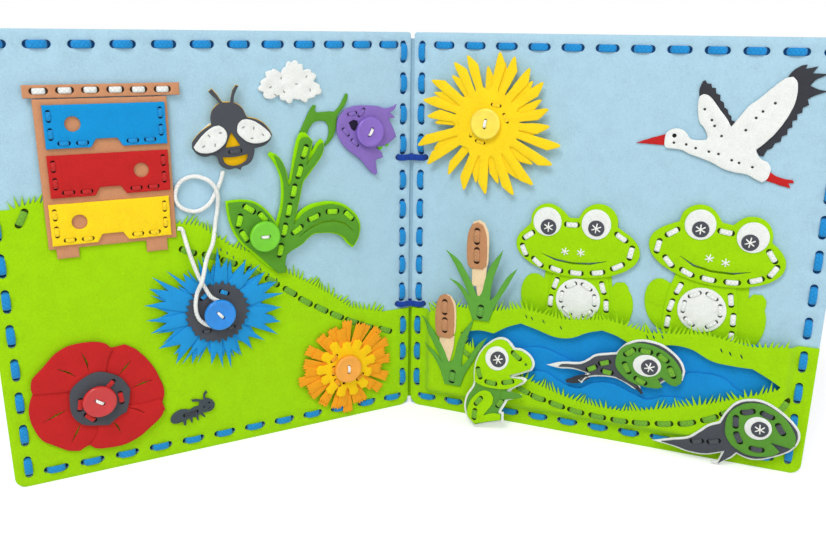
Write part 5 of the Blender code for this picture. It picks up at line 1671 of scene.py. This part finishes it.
SUN_TIPS = [
    (105.7, 33.6), (118.5, 33.3), (78, 34.2), (65.5, 34.2), (50, 33.4), (34.3, 33.8), (12, 31.0), (-3, 31.0),
    (-16, 37.8), (-31, 37.8), (-52, 37.4), (-69.2, 37.2), (-92, 34.8), (-110.9, 35.3), (-147, 37.6),
    (-163, 38.0), (173, 31.0), (160.5, 34.7), (143, 35.0),
]
SUN_BACK_TIPS = [
    (88, 27), (72, 30), (41, 30), (22, 29), (-10, 26), (-41, 30), (-60, 31), (-80, 30), (-102, 30),
    (-129, 33), (-155, 31), (179, 27), (151, 31), (127, 29),
]


def sun():
    centre = (39.6, 157.7)
    end = [(-0.96, 8.0), (-1.0, 5.6), (-0.4, 3.2), (0.45, 0.2), (0.75, 0.0), (0.95, 1.2), (1.0, 7.5)]
    spots = [(44.0, 166.6, -8), (49.0, 160.6, -62), (32.2, 153.0, 72), (36.6, 148.6, -12)]
    holes = sewn("sun_stitches", "sun", "yellow", spots, 4.6, 3.6, 1.5, 0.5)
    for i, (low, thick, root, width, tips, cuts) in enumerate((
        (3.3, 0.5, 14.0, 4.4, SUN_BACK_TIPS, []), (3.85, 0.75, 16.0, 5.0, SUN_TIPS, holes),
    )):
        outline = spread(fingers(centre, tips, root, 4.4, width, end), 0.8, 22)
        flower_felt(
            "sun_layer_%d" % i, "sun", centre, outline, low, thick, "yellow",
            ("sun_disc" if i else "sun_rays",), cuts,
        )
    disc_button("sun_button_disc", *centre, layer(4), 80, "button_yellow", "sun_button", "right_page")


STORK_BODY = [
    (123.6, 156.3), (124.6, 158.3), (126.8, 159.5), (129.3, 159.6), (131.6, 158.8), (133.2, 157.2),
    (134.3, 155.6), (136, 155), (139, 155), (141.4, 155.4), (141.8, 156.6), (141, 158.6), (139.7, 160.8),
    (137.8, 162.7), (136.9, 165.5), (136.3, 169), (136.2, 172.5), (136.6, 174.3), (138.2, 175.3),
    (140, 174.9), (142, 173.3), (146, 168.5), (149, 165), (151.1, 161.6), (152.3, 163.3), (154.5, 166.6),
    (157.5, 171), (161, 174), (164.5, 177.5), (168, 181), (171, 183.3), (173.5, 183.8), (175.2, 182),
    (175.9, 179), (175.6, 173), (174, 168), (171.5, 163), (168.5, 158.5), (165.5, 155), (162.5, 152.2),
    (163.5, 150), (165.4, 148), (167.8, 147), (169.6, 144.5), (169.3, 142), (168.3, 139.2), (166.5, 138),
    (164, 139), (160, 141), (155, 141.6), (150, 142.8), (145, 145.2), (140, 147), (135, 148.5), (131, 150.2),
    (127, 150.5), (124.4, 150.7), (123.5, 152),
]
STORK_FEATHERS = [
    (170.5, 182), (173, 186), (176, 188.4), (178.4, 188.9), (177.9, 187.2), (180, 187.6), (182.6, 188.3),
    (180.8, 185.4), (183.5, 185.4), (187, 185.2), (182.3, 182.6), (180.6, 180.4), (183.5, 179),
    (187.6, 178.2), (183, 176.3), (180.3, 174.6), (181.2, 172.3), (178.8, 171), (179, 169), (177, 168.2),
    (177.4, 166), (175.5, 165.2), (175.9, 162.6), (174, 161.8), (174.2, 159.4), (172.2, 158.4), (172, 156.2),
    (169.8, 155.4), (169, 153.2), (167, 152.2), (165.8, 149.2), (164.3, 149.5), (162.6, 151.5), (166, 157),
    (170, 164), (172.5, 172), (172, 179),
]
STORK_LEFT_FEATHERS = [
    (136.4, 173.5), (136.2, 177.5), (137.2, 180.8), (138.3, 181.2), (139.2, 179.8), (140.8, 179.8),
    (141.3, 178.2), (143, 178), (143.3, 175.8), (145.2, 175), (145.4, 172.8), (147, 171.8), (147.4, 169.8),
    (149, 168.8), (149.4, 167), (150.8, 166), (151, 164.4), (152.6, 163.9), (151.1, 160.9), (147, 165),
    (142, 171), (139.2, 173.4),
]
STORK_LEGS = [
    (167.5, 138.9), (169, 143), (172.2, 141), (175.5, 140.1), (179, 139.8), (179.6, 138.6), (177.4, 138.2),
    (178.2, 136.9), (178.4, 136.2), (174.5, 137), (171, 138),
]


def stork():
    low, step = layer(0), 0.42
    for name, outline, node in (
        ("stork_wing_tip", STORK_FEATHERS, ("stork_feathers",)), ("stork_left_tip", STORK_LEFT_FEATHERS, ()),
    ):
        cut_shape(name, "right_page", outline, low, step, "feather", node, corner_deg=30, radius=0.15)
    beak = [(110.8, 152.1), (117, 154.6), (124.4, 157), (124.4, 151.7)]
    cut_shape("stork_bill", "right_page", beak, low, step, "red", ("stork_beak",), radius=0.15)
    cut_shape("stork_feet", "right_page", STORK_LEGS, low, step, "red", ("stork_legs",), radius=0.15)
    top = low + step + FELT
    holes = [
        circle(x, y, 0.6, 12)
        for x, y in (
            (127.6, 153.2), (133, 152.7), (137.2, 151.3), (143, 150.1), (147.2, 149.3), (153, 146.9),
            (156.2, 145.9), (161.9, 144.4), (139.3, 168.7), (142.8, 164.1), (144.2, 161.6), (147.6, 157.3),
            (157.3, 160.4), (160.9, 165.9), (163.3, 168.8), (167.8, 172.5),
        )
    ]
    # painted shade at the bottom of the dot holes in the stork's white body
    painted_hole_shade("stork_dots", "right_page", holes, top - 0.6, "white")
    cut_shape(
        "stork_white", "right_page", STORK_BODY, low + step + 0.02, FELT, "white", ("stork_body",),
        [*holes, circle(127.5, 156.4, 0.95, 16)],
    )
    felt(
        "stork_eye", "right_page", circle(127.5, 156.4, 1.5, 16), low + 0.1, "dark", thick=0.55, radius=0.15
    )


CATTAIL_LEAVES = [
    (36.4, 56.8), (33.4, 65.2), (30.4, 70.6), (27.2, 74.5), (23.2, 77.6), (28, 76), (31.8, 72.8),
    (34.4, 69.2), (32.6, 73.4), (29.2, 79.8), (25.3, 86.6), (21.3, 92.4), (27.8, 88.2), (32.2, 82.2),
    (35.6, 76.2), (37.4, 72.2), (38.2, 70.2), (39.8, 70), (41.3, 73), (42.6, 79.6), (45, 86.6),
    (51.4, 95.8), (49.8, 89.6), (47.2, 81.4), (45.8, 74), (45.6, 68.4), (48.3, 71.6), (51.1, 77),
    (54.8, 82.8), (59.2, 87), (56.2, 80.6), (53.4, 75), (50, 68.8), (47.3, 63.4), (45.2, 56.8),
]
CATTAIL_HEAD = [
    (33.3, 86), (34.8, 84.5), (41, 84.5), (42.8, 86.5), (43, 92), (42.4, 102.5), (40.4, 107.5), (37.8, 108.8),
    (34.8, 107.5), (32.8, 102.5), (32.4, 92),
]
CATTAIL_STALK = [
    (37.0, 86), (37.7, 77.3), (38.3, 71.4), (38.9, 69.4), (40.4, 69.2), (41.4, 73.6), (42.6, 78.6),
    (43.2, 86),
]
CATTAIL_SPOTS = [(37.6, 101.5, 90), (37.8, 91.5, 90)]
CATTAILS = {
    "upper": ((0, 0), (0, 0)),
    "lower": ((-14.4, -38.8), (-16.4, -39.9)),
}


def moved(points, shift):
    return [(p[0] + shift[0], p[1] + shift[1], *p[2:]) for p in points]


def cattails():
    for which, (leaf_shift, head_shift) in CATTAILS.items():
        rise = lifted(2, 5)
        node = which + "_cattail_leaves"
        spots = moved([(40.6, 61.6, 84)], leaf_shift)
        holes = sewn(node + "_stitch", "right_page", "leaf", spots, layer(2) + FELT, 4.6, 3.0, lift=rise)
        cut_shape(
            node + "_felt", "right_page", moved(CATTAIL_LEAVES, leaf_shift), layer(2), FELT, "leaf",
            (node,), holes, lift=rise, grid=1.7,
        )
        node = which + "_cattail_head"
        cream = [(x + 0.25, y + 0.35) for x, y in cad(node, RIGHT, 0.6)]
        felt(which + "_cattail_stem", "right_page", cream, layer(5), "cream", (node,), thick=0.5, radius=0.2)
        cut_shape(
            which + "_cattail_stalk", "right_page", moved(CATTAIL_STALK, head_shift), layer(5) - 0.02, 0.46,
            "cream", radius=0.15,
        )
        holes = sewn(
            node + "_stitches", "right_page", "tan_dark", moved(CATTAIL_SPOTS, head_shift),
            layer(5) + 1.3, 5.6, 2.9, 0.8,
        )
        cut_shape(
            which + "_cattail_top", "right_page", moved(CATTAIL_HEAD, head_shift), layer(5) + 0.52, 0.78,
            "tan_dark", (), holes,
        )


FROGS = {
    "left": {
        "stitches": [
            (84, 111, 2), (62.8, 103.6, 38), (61, 95.8, -65), (68, 90.4, -38), (77.5, 87.7, -14),
            (87.5, 87, 0), (98, 88.3, 12), (107.3, 92.4, 30), (113, 99.8, 80), (108, 107, -32),
        ],
        "body": [(77.6, 80, 72), (75.6, 70.5, 88), (101, 80.5, -72), (103.3, 71.5, -86)],
        "torso": [
            (77, 91), (75, 80), (73.6, 66), (73.8, 58), (105.2, 58), (105.4, 66), (104.3, 80), (101.5, 91),
        ],
        "whites": [(72, 111.5, 7.0, 7.2, 0), (95.8, 112.3, 7.0, 7.4, 0)],
        "pupils": [(72.8, 109, 3.9), (96, 110.5, 3.9)],
        "nostrils": [(81.5, 97.3), (89.3, 97.5)],
        "smile": [(69.5, 95.2), (77, 92.6), (85.5, 91.6), (94, 92.3), (102, 94.4)],
        "belly": (89.3, 73.0),
        "thighs": [(68, 71.5, 8, 12.5, 8), (108.5, 70.5, 7.5, 12, -8)],
    },
    "right": {
        "stitches": [
            (154.3, 114.3, -8), (131, 112, 35), (125.2, 104.7, 80), (130.6, 97.8, -48), (139.3, 93.4, -25),
            (149, 91.3, -8), (159.5, 91, 2), (169.5, 93.2, 20), (176.3, 98, 60), (174.9, 105, -55),
        ],
        "body": [
            (136.4, 84.8, 68), (133.6, 76, 76), (132.8, 67.5, 86), (160, 82, -80), (162, 72.5, -88),
            (162, 63.5, 88),
        ],
        "torso": [
            (134.5, 93), (131.6, 82), (130.2, 68), (130.6, 58), (164.4, 58), (164.6, 68), (162.8, 82),
            (160.5, 93),
        ],
        "whites": [(143, 116.8, 6.9, 7.1, 0), (166, 113, 6.9, 7.1, 0)],
        "pupils": [(143.3, 114.7, 3.8), (165, 110.7, 3.8)],
        "nostrils": [(148.5, 101.3), (155.7, 100)],
        "smile": [(135.5, 101), (142, 97), (150, 95.2), (159, 95), (167, 96.7)],
        "belly": (147.7, 75.7),
        "thighs": [(129.3, 76, 8, 12.8, 12), (168.5, 70, 7.5, 12.8, -10)],
    },
}


def frog_body(body, about, top):
    """Back, thighs and stitched front of a frog, up to a height."""
    back = cad(body + "_body", RIGHT, 0.6)
    felt(body + "_back", body, back, layer(0), "lime", (body + "_body",), thick=0.45, radius=0.2)
    for i, (x, y, rx, ry, tilt) in enumerate(about["thighs"]):
        thigh = turned(circle(x, y, rx, 48, ry / rx), (x, y), tilt, 1)
        felt("%s_thigh_%d" % (body, i), body, thigh, layer(0), "lime", thick=0.46, radius=0.2)
    holes = sewn(body + "_body_stitches", body, "white", about["body"], top, 4.6, 2.4, under="lime")
    cut_shape(body + "_torso", body, about["torso"], layer(0) + 0.47, 0.68, "lime", (), holes, radius=0.2)


def frog_belly(body, x, y, top):
    """White disc on a frog's front, with six stitches in a ring."""
    ring = [
        (x + 8.2 * math.cos(math.radians(a)), y + 8.2 * math.sin(math.radians(a)), a + 90)
        for a in (62, 118, 5, 175, -52, -128)
    ]
    holes = sewn(body + "_belly_stitches", body, "white", ring, top + 0.75, 4.4, 1.9, 0.7)
    felt(
        body + "_tummy", body, circle(x, y, 11.0, 60), top + 0.02, "white", (body + "_belly",), holes,
        thick=0.73, radius=0.25,
    )


def frog_head(body, about, low):
    """Head of a frog with its smile, two eyes and nostrils."""
    holes = sewn(
        body + "_head_stitches", body, "white", about["stitches"], low + FELT, 4.9, 2.5, under="lime"
    )
    felt(
        body + "_face", body, worn(cad(body + "_head", RIGHT, 0.6), 5), low, "lime", (body + "_head",),
        [*holes, bent_cut(about["smile"], 1.0)],
    )
    for i, (white, pupil) in enumerate(zip(about["whites"], about["pupils"])):
        eye_piece("%s_eye_%d" % (body, i), body, white, pupil, low + FELT + 0.02, 90 - 8 * i)
    shape, uv = new_shape()
    for i, (x, y) in enumerate(about["nostrils"]):
        star(shape, uv, x, y, low + FELT, 1.95, 0.6, 3, 80 + 10 * i)
    shape_piece(body + "_nostrils", shape, body, (), lace_material("thread"))


def frogs():
    for side, about in FROGS.items():
        body = side + "_frog"
        top = layer(0) + 1.15
        frog_body(body, about, top)
        frog_belly(body, *about["belly"], top)
        frog_head(body, about, top + 0.25)


TADPOLES = {
    "pond_tadpole": {
        "head": [
            (110.9, 47), (112.5, 52.3), (116.5, 55.8), (122, 57.3), (128.5, 56.8), (134.5, 54.2),
            (139.6, 49.8), (142.4, 44.5), (142.6, 40), (140.2, 37.8), (137, 38.4), (133.2, 41.6),
            (131.6, 40.2), (134.2, 36.4), (131.5, 35.2), (125.5, 35.2), (119, 36.6), (114, 40),
            (111.4, 43.3),
        ],
        "thread": "stitch_green",
        "eye": (126, 46.5, 6.6, 5.6, 0), "pupil": (127.3, 46, 4.0), "turn": 80,
        "stitches": [
            (117.3, 52, 40), (124.7, 53.6, -5), (133, 51.4, -32), (137.6, 44.8, -62), (116.5, 43.6, -60),
            (123.6, 38, -22),
        ],
        "tail": [(99.6, 40.3, 30), (105.6, 44.2, 20), (107.2, 39.6, -5)],
        "legs": [
            [
                (97.5, 36.5), (93, 35), (89, 32.8), (86.8, 31.5), (87.5, 30.2), (91, 30.3), (95, 31.6),
                (99, 34.5),
            ],
            [
                (112, 37), (117, 35.2), (121.5, 32.8), (124.3, 30.4), (125.3, 31), (123, 34.3), (119, 37.3),
                (114, 38.5),
            ],
        ],
    },
    "front_tadpole": {
        "head": [
            (164.4, 22), (165.2, 28), (168.6, 32.6), (173.8, 35.4), (180, 35.6), (186.2, 33), (191.4, 28.4),
            (195, 22.6), (195.6, 17.6), (193.8, 15.8), (185, 17.2), (189.4, 13.2), (187, 10.8), (181, 9),
            (174.4, 9.2), (168.4, 12.4), (165.2, 17),
        ],
        "thread": "grey",
        "eye": (178.8, 23.6, 6.0, 5.8, 0), "pupil": (179.6, 23.4, 3.9), "turn": 95,
        "stitches": [
            (173.4, 30.8, 18), (182, 30.6, -18), (188.4, 24.6, -55), (168.8, 24.8, -85), (170.8, 16.8, -62),
            (179.4, 12.6, 0),
        ],
        "tail": [(152.6, 11.0, 12), (160.2, 12.4, 18)],
        "legs": [],
    },
}


def tadpoles():
    for name, about in TADPOLES.items():
        low = layer(5)
        cut_out(name + "_rim", name + "_backing", name, 5, "white", step=0.6, thick=0.7, radius=0.2)
        body, head = low + 0.72, low + 1.5
        tail = sewn(
            name + "_tail_stitches", name, about["thread"], about["tail"], body + 0.75, 3.8, 2.5, under="grey"
        )
        cut_out(
            name + "_grey", name + "_body", name, 5, "grey", tail, step=0.6, thick=0.75, radius=0.2,
            lift=lambda x, y: 0.72,
        )
        for i, leg in enumerate(about["legs"]):
            cut_shape("%s_leg_%d" % (name, i), name, leg, low + 0.1, 0.6, "feather", radius=0.18)
        holes = sewn(
            name + "_head_stitches", name, about["thread"], about["stitches"], head + 0.8, 4.2, 2.6,
            under="head_green",
        )
        cut_shape(name + "_head", name, about["head"], head, 0.8, "head_green", (), holes)
        eye_piece(name + "_eye", name, about["eye"], about["pupil"], head + 0.82, about["turn"])


FROGLET_HEAD = [
    (51.7, 47.4), (54.7, 47.1), (57, 45.3), (59.2, 43), (63.2, 43), (66.8, 41.4), (69.1, 39), (69.8, 36.4),
    (68.9, 34.3), (64.8, 32.2), (58.8, 29.7), (59, 28.3), (65.2, 28.3), (66.2, 27.6), (65, 26.6),
    (61.5, 23.9), (57.3, 22), (51.9, 21.4), (46.3, 21.5), (42.3, 22.5), (40.3, 23.6), (40, 28.6),
    (40.6, 34.3), (42.8, 39.8), (45.6, 43.3), (48.9, 46.1),
]
FROGLET_THIGH = [
    (46.7, 6.2), (49.1, 9.8), (51, 13), (51.2, 16.3), (49.3, 19), (46.5, 19.6), (43.3, 18.2), (40.2, 14.9),
    (38.3, 10.7), (37.8, 7.2), (38.4, 4.4), (42.4, 0.9), (49, 3.2), (56.2, 5.3), (55.9, 8.3), (51.5, 8.2),
]


def froglet():
    body = "froglet"
    rim = cad("froglet_backing", FROGLET, 0.6)
    felt("froglet_rim", body, rim, 0.0, "white", ("froglet_backing",), thick=0.7, radius=0.2)
    holes = sewn(
        "froglet_chest_stitch", body, "stitch_green", [(54.7, 14.0, 60)], 1.5, 3.6, 2.2,
        under="head_green",
    )
    felt(
        "froglet_torso", body, grown(cad("froglet_body", FROGLET, 0.6), -0.15), 0.72, "head_green",
        ("froglet_body",), holes, thick=0.75, radius=0.2,
    )
    head_holes = sewn(
        "froglet_head_stitches", body, "stitch_green",
        [(61.2, 40.2, -35), (42.4, 28.2, -70), (49.2, 24.1, -4), (58.1, 25.9, 18)], 2.3, 4.4, 2.4,
        under="lime",
    )
    cut_shape(
        "froglet_head", body, FROGLET_HEAD, 1.5, 0.8, "lime", (),
        [*head_holes, circle(66.6, 36.4, 0.75, 14)],
    )
    thigh_holes = sewn(
        "froglet_thigh_stitches", body, "stitch_green", [(43.4, 13.4, 55), (42.0, 6.0, 88)], 2.3, 3.8, 2.4,
        under="lime",
    )
    cut_shape("froglet_thigh", body, FROGLET_THIGH, 1.5, 0.8, "lime", (), thigh_holes)
    arm = [(55, 16), (59.5, 17), (65.5, 18.6), (66.4, 19.6), (64.8, 20.6), (60.5, 20.9), (55, 21)]
    cut_shape("froglet_arm", body, arm, 1.42, 0.5, "head_green", radius=0.18)
    eye_piece("froglet_eye", body, (51.3, 37.4, 6.2, 6.3, 0), (52.0, 37.0, 4.1), 2.32, 75)


waves()
sun()
stork()
meadow_piece()
cattails()
frogs()
tadpoles()
froglet()


# The bee's cord

CORD_HEIGHTS = (1.3, 3.6, 2.5, 4.9, 6.1, 8.4)
CORD_STEPS = 640
CORD_LAY = 4.6        # length of one turn of its strands
STRAND_OFFSET = 0.44  # of a strand's middle from the cord's
# (x, y, number of its height)
CORD_ROUTE = [
    (102.2, 137.6, 0), (101, 133.5, 0), (98, 127.5, 0), (94.5, 122.5, 0), (88.5, 120, 0), (82, 122.5, 0),
    (79.8, 128, 0), (82.5, 134, 0), (88.8, 136.2, 0), (95, 134, 1), (98.4, 128.5, 1), (98.8, 121, 0),
    (97.6, 115, 0), (96.4, 109.8, 2), (94.6, 104.8, 3), (91.5, 98, 3), (88, 89, 5), (85.6, 82, 4),
    (84.6, 75, 4), (86, 69.4, 4), (90, 65.8, 4), (95.2, 65.2, 4), (99.6, 68, 4), (100.1, 72.6, 4),
    (96.6, 76.2, 4), (92.2, 79.5, 4), (89.5, 84.5, 4), (87, 90.5, 3), (84.6, 98, 3), (83.1, 104, 3),
    (82.4, 109, 2), (81.6, 112.4, 2), (79.9, 113.1, 2),
]


def smooth_line(points, steps):
    """Catmull-Rom line through the points, evenly spaced."""
    line = []
    for i in range(len(points) - 1):
        p0, p1 = points[max(i - 1, 0)], points[i]
        p2, p3 = points[i + 1], points[min(i + 2, len(points) - 1)]
        for k in range(12):
            t = k / 12
            line.append(
                (p1 * 2 + (p2 - p0) * t + (p0 * 2 - p1 * 5 + p2 * 4 - p3) * t * t
                 + (p1 * 3 - p0 - p2 * 3 + p3) * t ** 3) / 2
            )
    line.append(points[-1])
    lengths = [0.0]
    for a, b in zip(line, line[1:]):
        lengths.append(lengths[-1] + (b - a).length)
    out, j = [], 0
    for i in range(steps + 1):
        want = lengths[-1] * i / steps
        while j < len(line) - 2 and lengths[j + 1] < want:
            j += 1
        share = (want - lengths[j]) / max(lengths[j + 1] - lengths[j], 1e-9)
        out.append(line[j].lerp(line[j + 1], min(share, 1)))
    return out


def bee_cord():
    """Twisted white cord: three strands laid round one line."""
    route = [Vector((x, y, CORD_HEIGHTS[h])) for x, y, h in CORD_ROUTE]
    centre = smooth_line(route, CORD_STEPS)
    ups = []
    up = Vector((0, 0, 1))
    for i, point in enumerate(centre):
        way = (centre[min(i + 1, CORD_STEPS)] - centre[max(i - 1, 0)]).normalized()
        up = (up - way * up.dot(way)).normalized()
        ups.append((up.copy(), way.cross(up)))
    shape, uv = new_shape()
    length = sum((b - a).length for a, b in zip(centre, centre[1:]))
    for strand in range(3):
        path, across = [], []
        for i, point in enumerate(centre):
            angle = math.tau * (length * i / CORD_STEPS / CORD_LAY + strand / 3)
            out = ups[i][0] * math.cos(angle) + ups[i][1] * math.sin(angle)
            path.append(point + out * STRAND_OFFSET)
            across.append(out)
        add_strap(shape, uv, path, across, 1.1, 1.22, 9)
    thread = lace_material("thread")
    piece = shape_piece("bee_string", shape, "left_page", ("bee_cord",), thread)
    line = [LEFT @ p for p in smooth_line(route, 160)]


bee_cord()

# Strips and ties at the spine

STRIP_FRONT = -2.03
STRIP_BACK = -2.25
TIE_PROFILE = [  # (distance from the spine, height out of the page)
    (1.0, 1.7), (3.0, 2.1), (5.0, 1.7), (6.1, 0.5), (6.3, -1.0), (6.0, -2.2), (4.6, -2.95), (2.6, -3.0),
    (0.8, -2.9),
]


def beside_spine(side, u, n, height):
    """Place at a distance from the spine and in front of a page; side is -1 on the left."""
    u += HALF_SPINE
    n -= FOLD_RISE
    x = side * (u * math.cos(TURN) - n * math.sin(TURN))
    return Vector((x, FOLD_Y - u * math.sin(TURN) - n * math.cos(TURN), height))


def blended_piece(name, shape, material, left_end, right_end):
    """Piece drawn in millimetres of the frame, set between the two pages."""
    mesh = mesh_of(name, shape)
    mesh.transform(Matrix.Scale(MM, 4))
    mesh.materials.append(material)
    piece = bpy.data.objects.new(name, mesh)
    bpy.context.scene.collection.objects.link(piece)
    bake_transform(piece)
    return piece


def spine_strips():
    """Thin felt glued behind both pages, which closes the gap between them."""
    sections = [(-1, 1.6), (-1, 0.5), (-1, -0.6), (1, -0.6), (1, 0.5), (1, 1.6)]
    for name, colour, foot, head in (("upper", "sky", 56.6, 197.0), ("lower", "lime", 3.0, 56.4)):
        shape, _ = new_shape()
        corners = ((STRIP_FRONT, foot), (STRIP_FRONT, head), (STRIP_BACK, head), (STRIP_BACK, foot))
        rings = [
            [shape.verts.new(beside_spine(side, u, n, height)) for n, height in corners]
            for side, u in sections
        ]
        for before, after in zip(rings, rings[1:]):
            for k in range(4):
                shape.faces.new((before[k], before[k - 1], after[k - 1], after[k]))
        shape.faces.new(rings[0])
        shape.faces.new(rings[-1])
        ends = [beside_spine(side, -0.6, -2.1, 100) for side in (-1, 1)]
        piece = blended_piece("spine_strip_" + name, shape, felt_material(colour), *ends)


spine_strips()


def spine_ties():
    """Flat laces tied in a ring through both pages."""
    for name, height in zip(("upper_tie", "lower_tie"), TIE_HEIGHTS):
        path = [beside_spine(1, u, n, height) for u, n in TIE_PROFILE]
        path += [beside_spine(-1, u, n, height) for u, n in TIE_PROFILE[::-1]]
        centre = smooth_line([*path, path[0]], 90)[:-1]
        shape, uv = new_shape()
        add_strap(shape, uv, centre, Vector((0, 0, 1)), 3.2, 1.1, 12, closed=True)
        ends = [beside_spine(side, TIE_INSET, 0, height) for side in (-1, 1)]
        piece = blended_piece(name + "_loop", shape, lace_material("tie_blue"), *ends)
        piece.data.shade_smooth()
        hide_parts(name)


spine_ties()

# Floor, background and light

FLOOR_SIZE = 8
FLOOR_DROP = 0.0002  # below the book's lowest point
FLOOR_GLOW = 0.46    # of the white floor where the camera sees it
WORLD_LIGHT = 0.44   # of the white world on the pieces; the camera sees it at full strength


def plain_floor():
    bpy.ops.mesh.primitive_plane_add(size=FLOOR_SIZE, location=(0, 0, -FLOOR_DROP))
    floor = bpy.context.object
    floor.name = "floor"
    nodes = Nodes("floor")
    nodes.set(Base_Color=(0.8, 0.8, 0.8, 1), Roughness=1, Specular_IOR_Level=0, Emission_Color=(1, 1, 1, 1))
    light = nodes.add("ShaderNodeLightPath")
    seen = nodes.maths("MAXIMUM", light.outputs["Is Camera Ray"], light.outputs["Is Glossy Ray"])
    seen = nodes.maths("MAXIMUM", seen, light.outputs["Is Transmission Ray"])
    glow = nodes.maths("MULTIPLY", seen, FLOOR_GLOW)
    nodes.link(glow, nodes.shader.inputs["Emission Strength"])
    floor.data.materials.append(nodes.material)


def white_world():
    world = bpy.data.worlds.new("studio")
    bpy.context.scene.world = world
    world.use_nodes = True
    tree = world.node_tree
    background = tree.nodes["Background"]
    light = tree.nodes.new("ShaderNodeLightPath")
    seen = tree.nodes.new("ShaderNodeMath")
    seen.operation = "MAXIMUM"
    tree.links.new(light.outputs["Is Camera Ray"], seen.inputs[0])
    tree.links.new(light.outputs["Is Transmission Ray"], seen.inputs[1])
    strength = tree.nodes.new("ShaderNodeMix")
    strength.inputs["A"].default_value = WORLD_LIGHT
    strength.inputs["B"].default_value = 1.0
    tree.links.new(seen.outputs[0], strength.inputs["Factor"])
    tree.links.new(strength.outputs["Result"], background.inputs["Strength"])
    background.inputs["Color"].default_value = (1, 1, 1, 1)


def area_light(name, place, aim, size, power):
    data = bpy.data.lights.new(name, "AREA")
    data.shape = "SQUARE"
    data.size = size
    data.energy = power
    lamp = bpy.data.objects.new(name, data)
    lamp.location = place
    lamp.rotation_euler = (Vector(aim) - Vector(place)).to_track_quat("-Z", "Y").to_euler()
    bpy.context.scene.collection.objects.link(lamp)


plain_floor()
white_world()
area_light("key", (-0.35, -0.75, 1.0), (0, 0, 0.1), 0.5, 7.4)
area_light("fill", (0.9, -0.8, 0.7), (0, 0, 0.08), 0.9, 3.0)
area_light("front", (0.0, -1.3, 0.35), (0, 0, 0.1), 0.7, 2.2)

bpy.context.scene.view_settings.view_transform = "Standard"
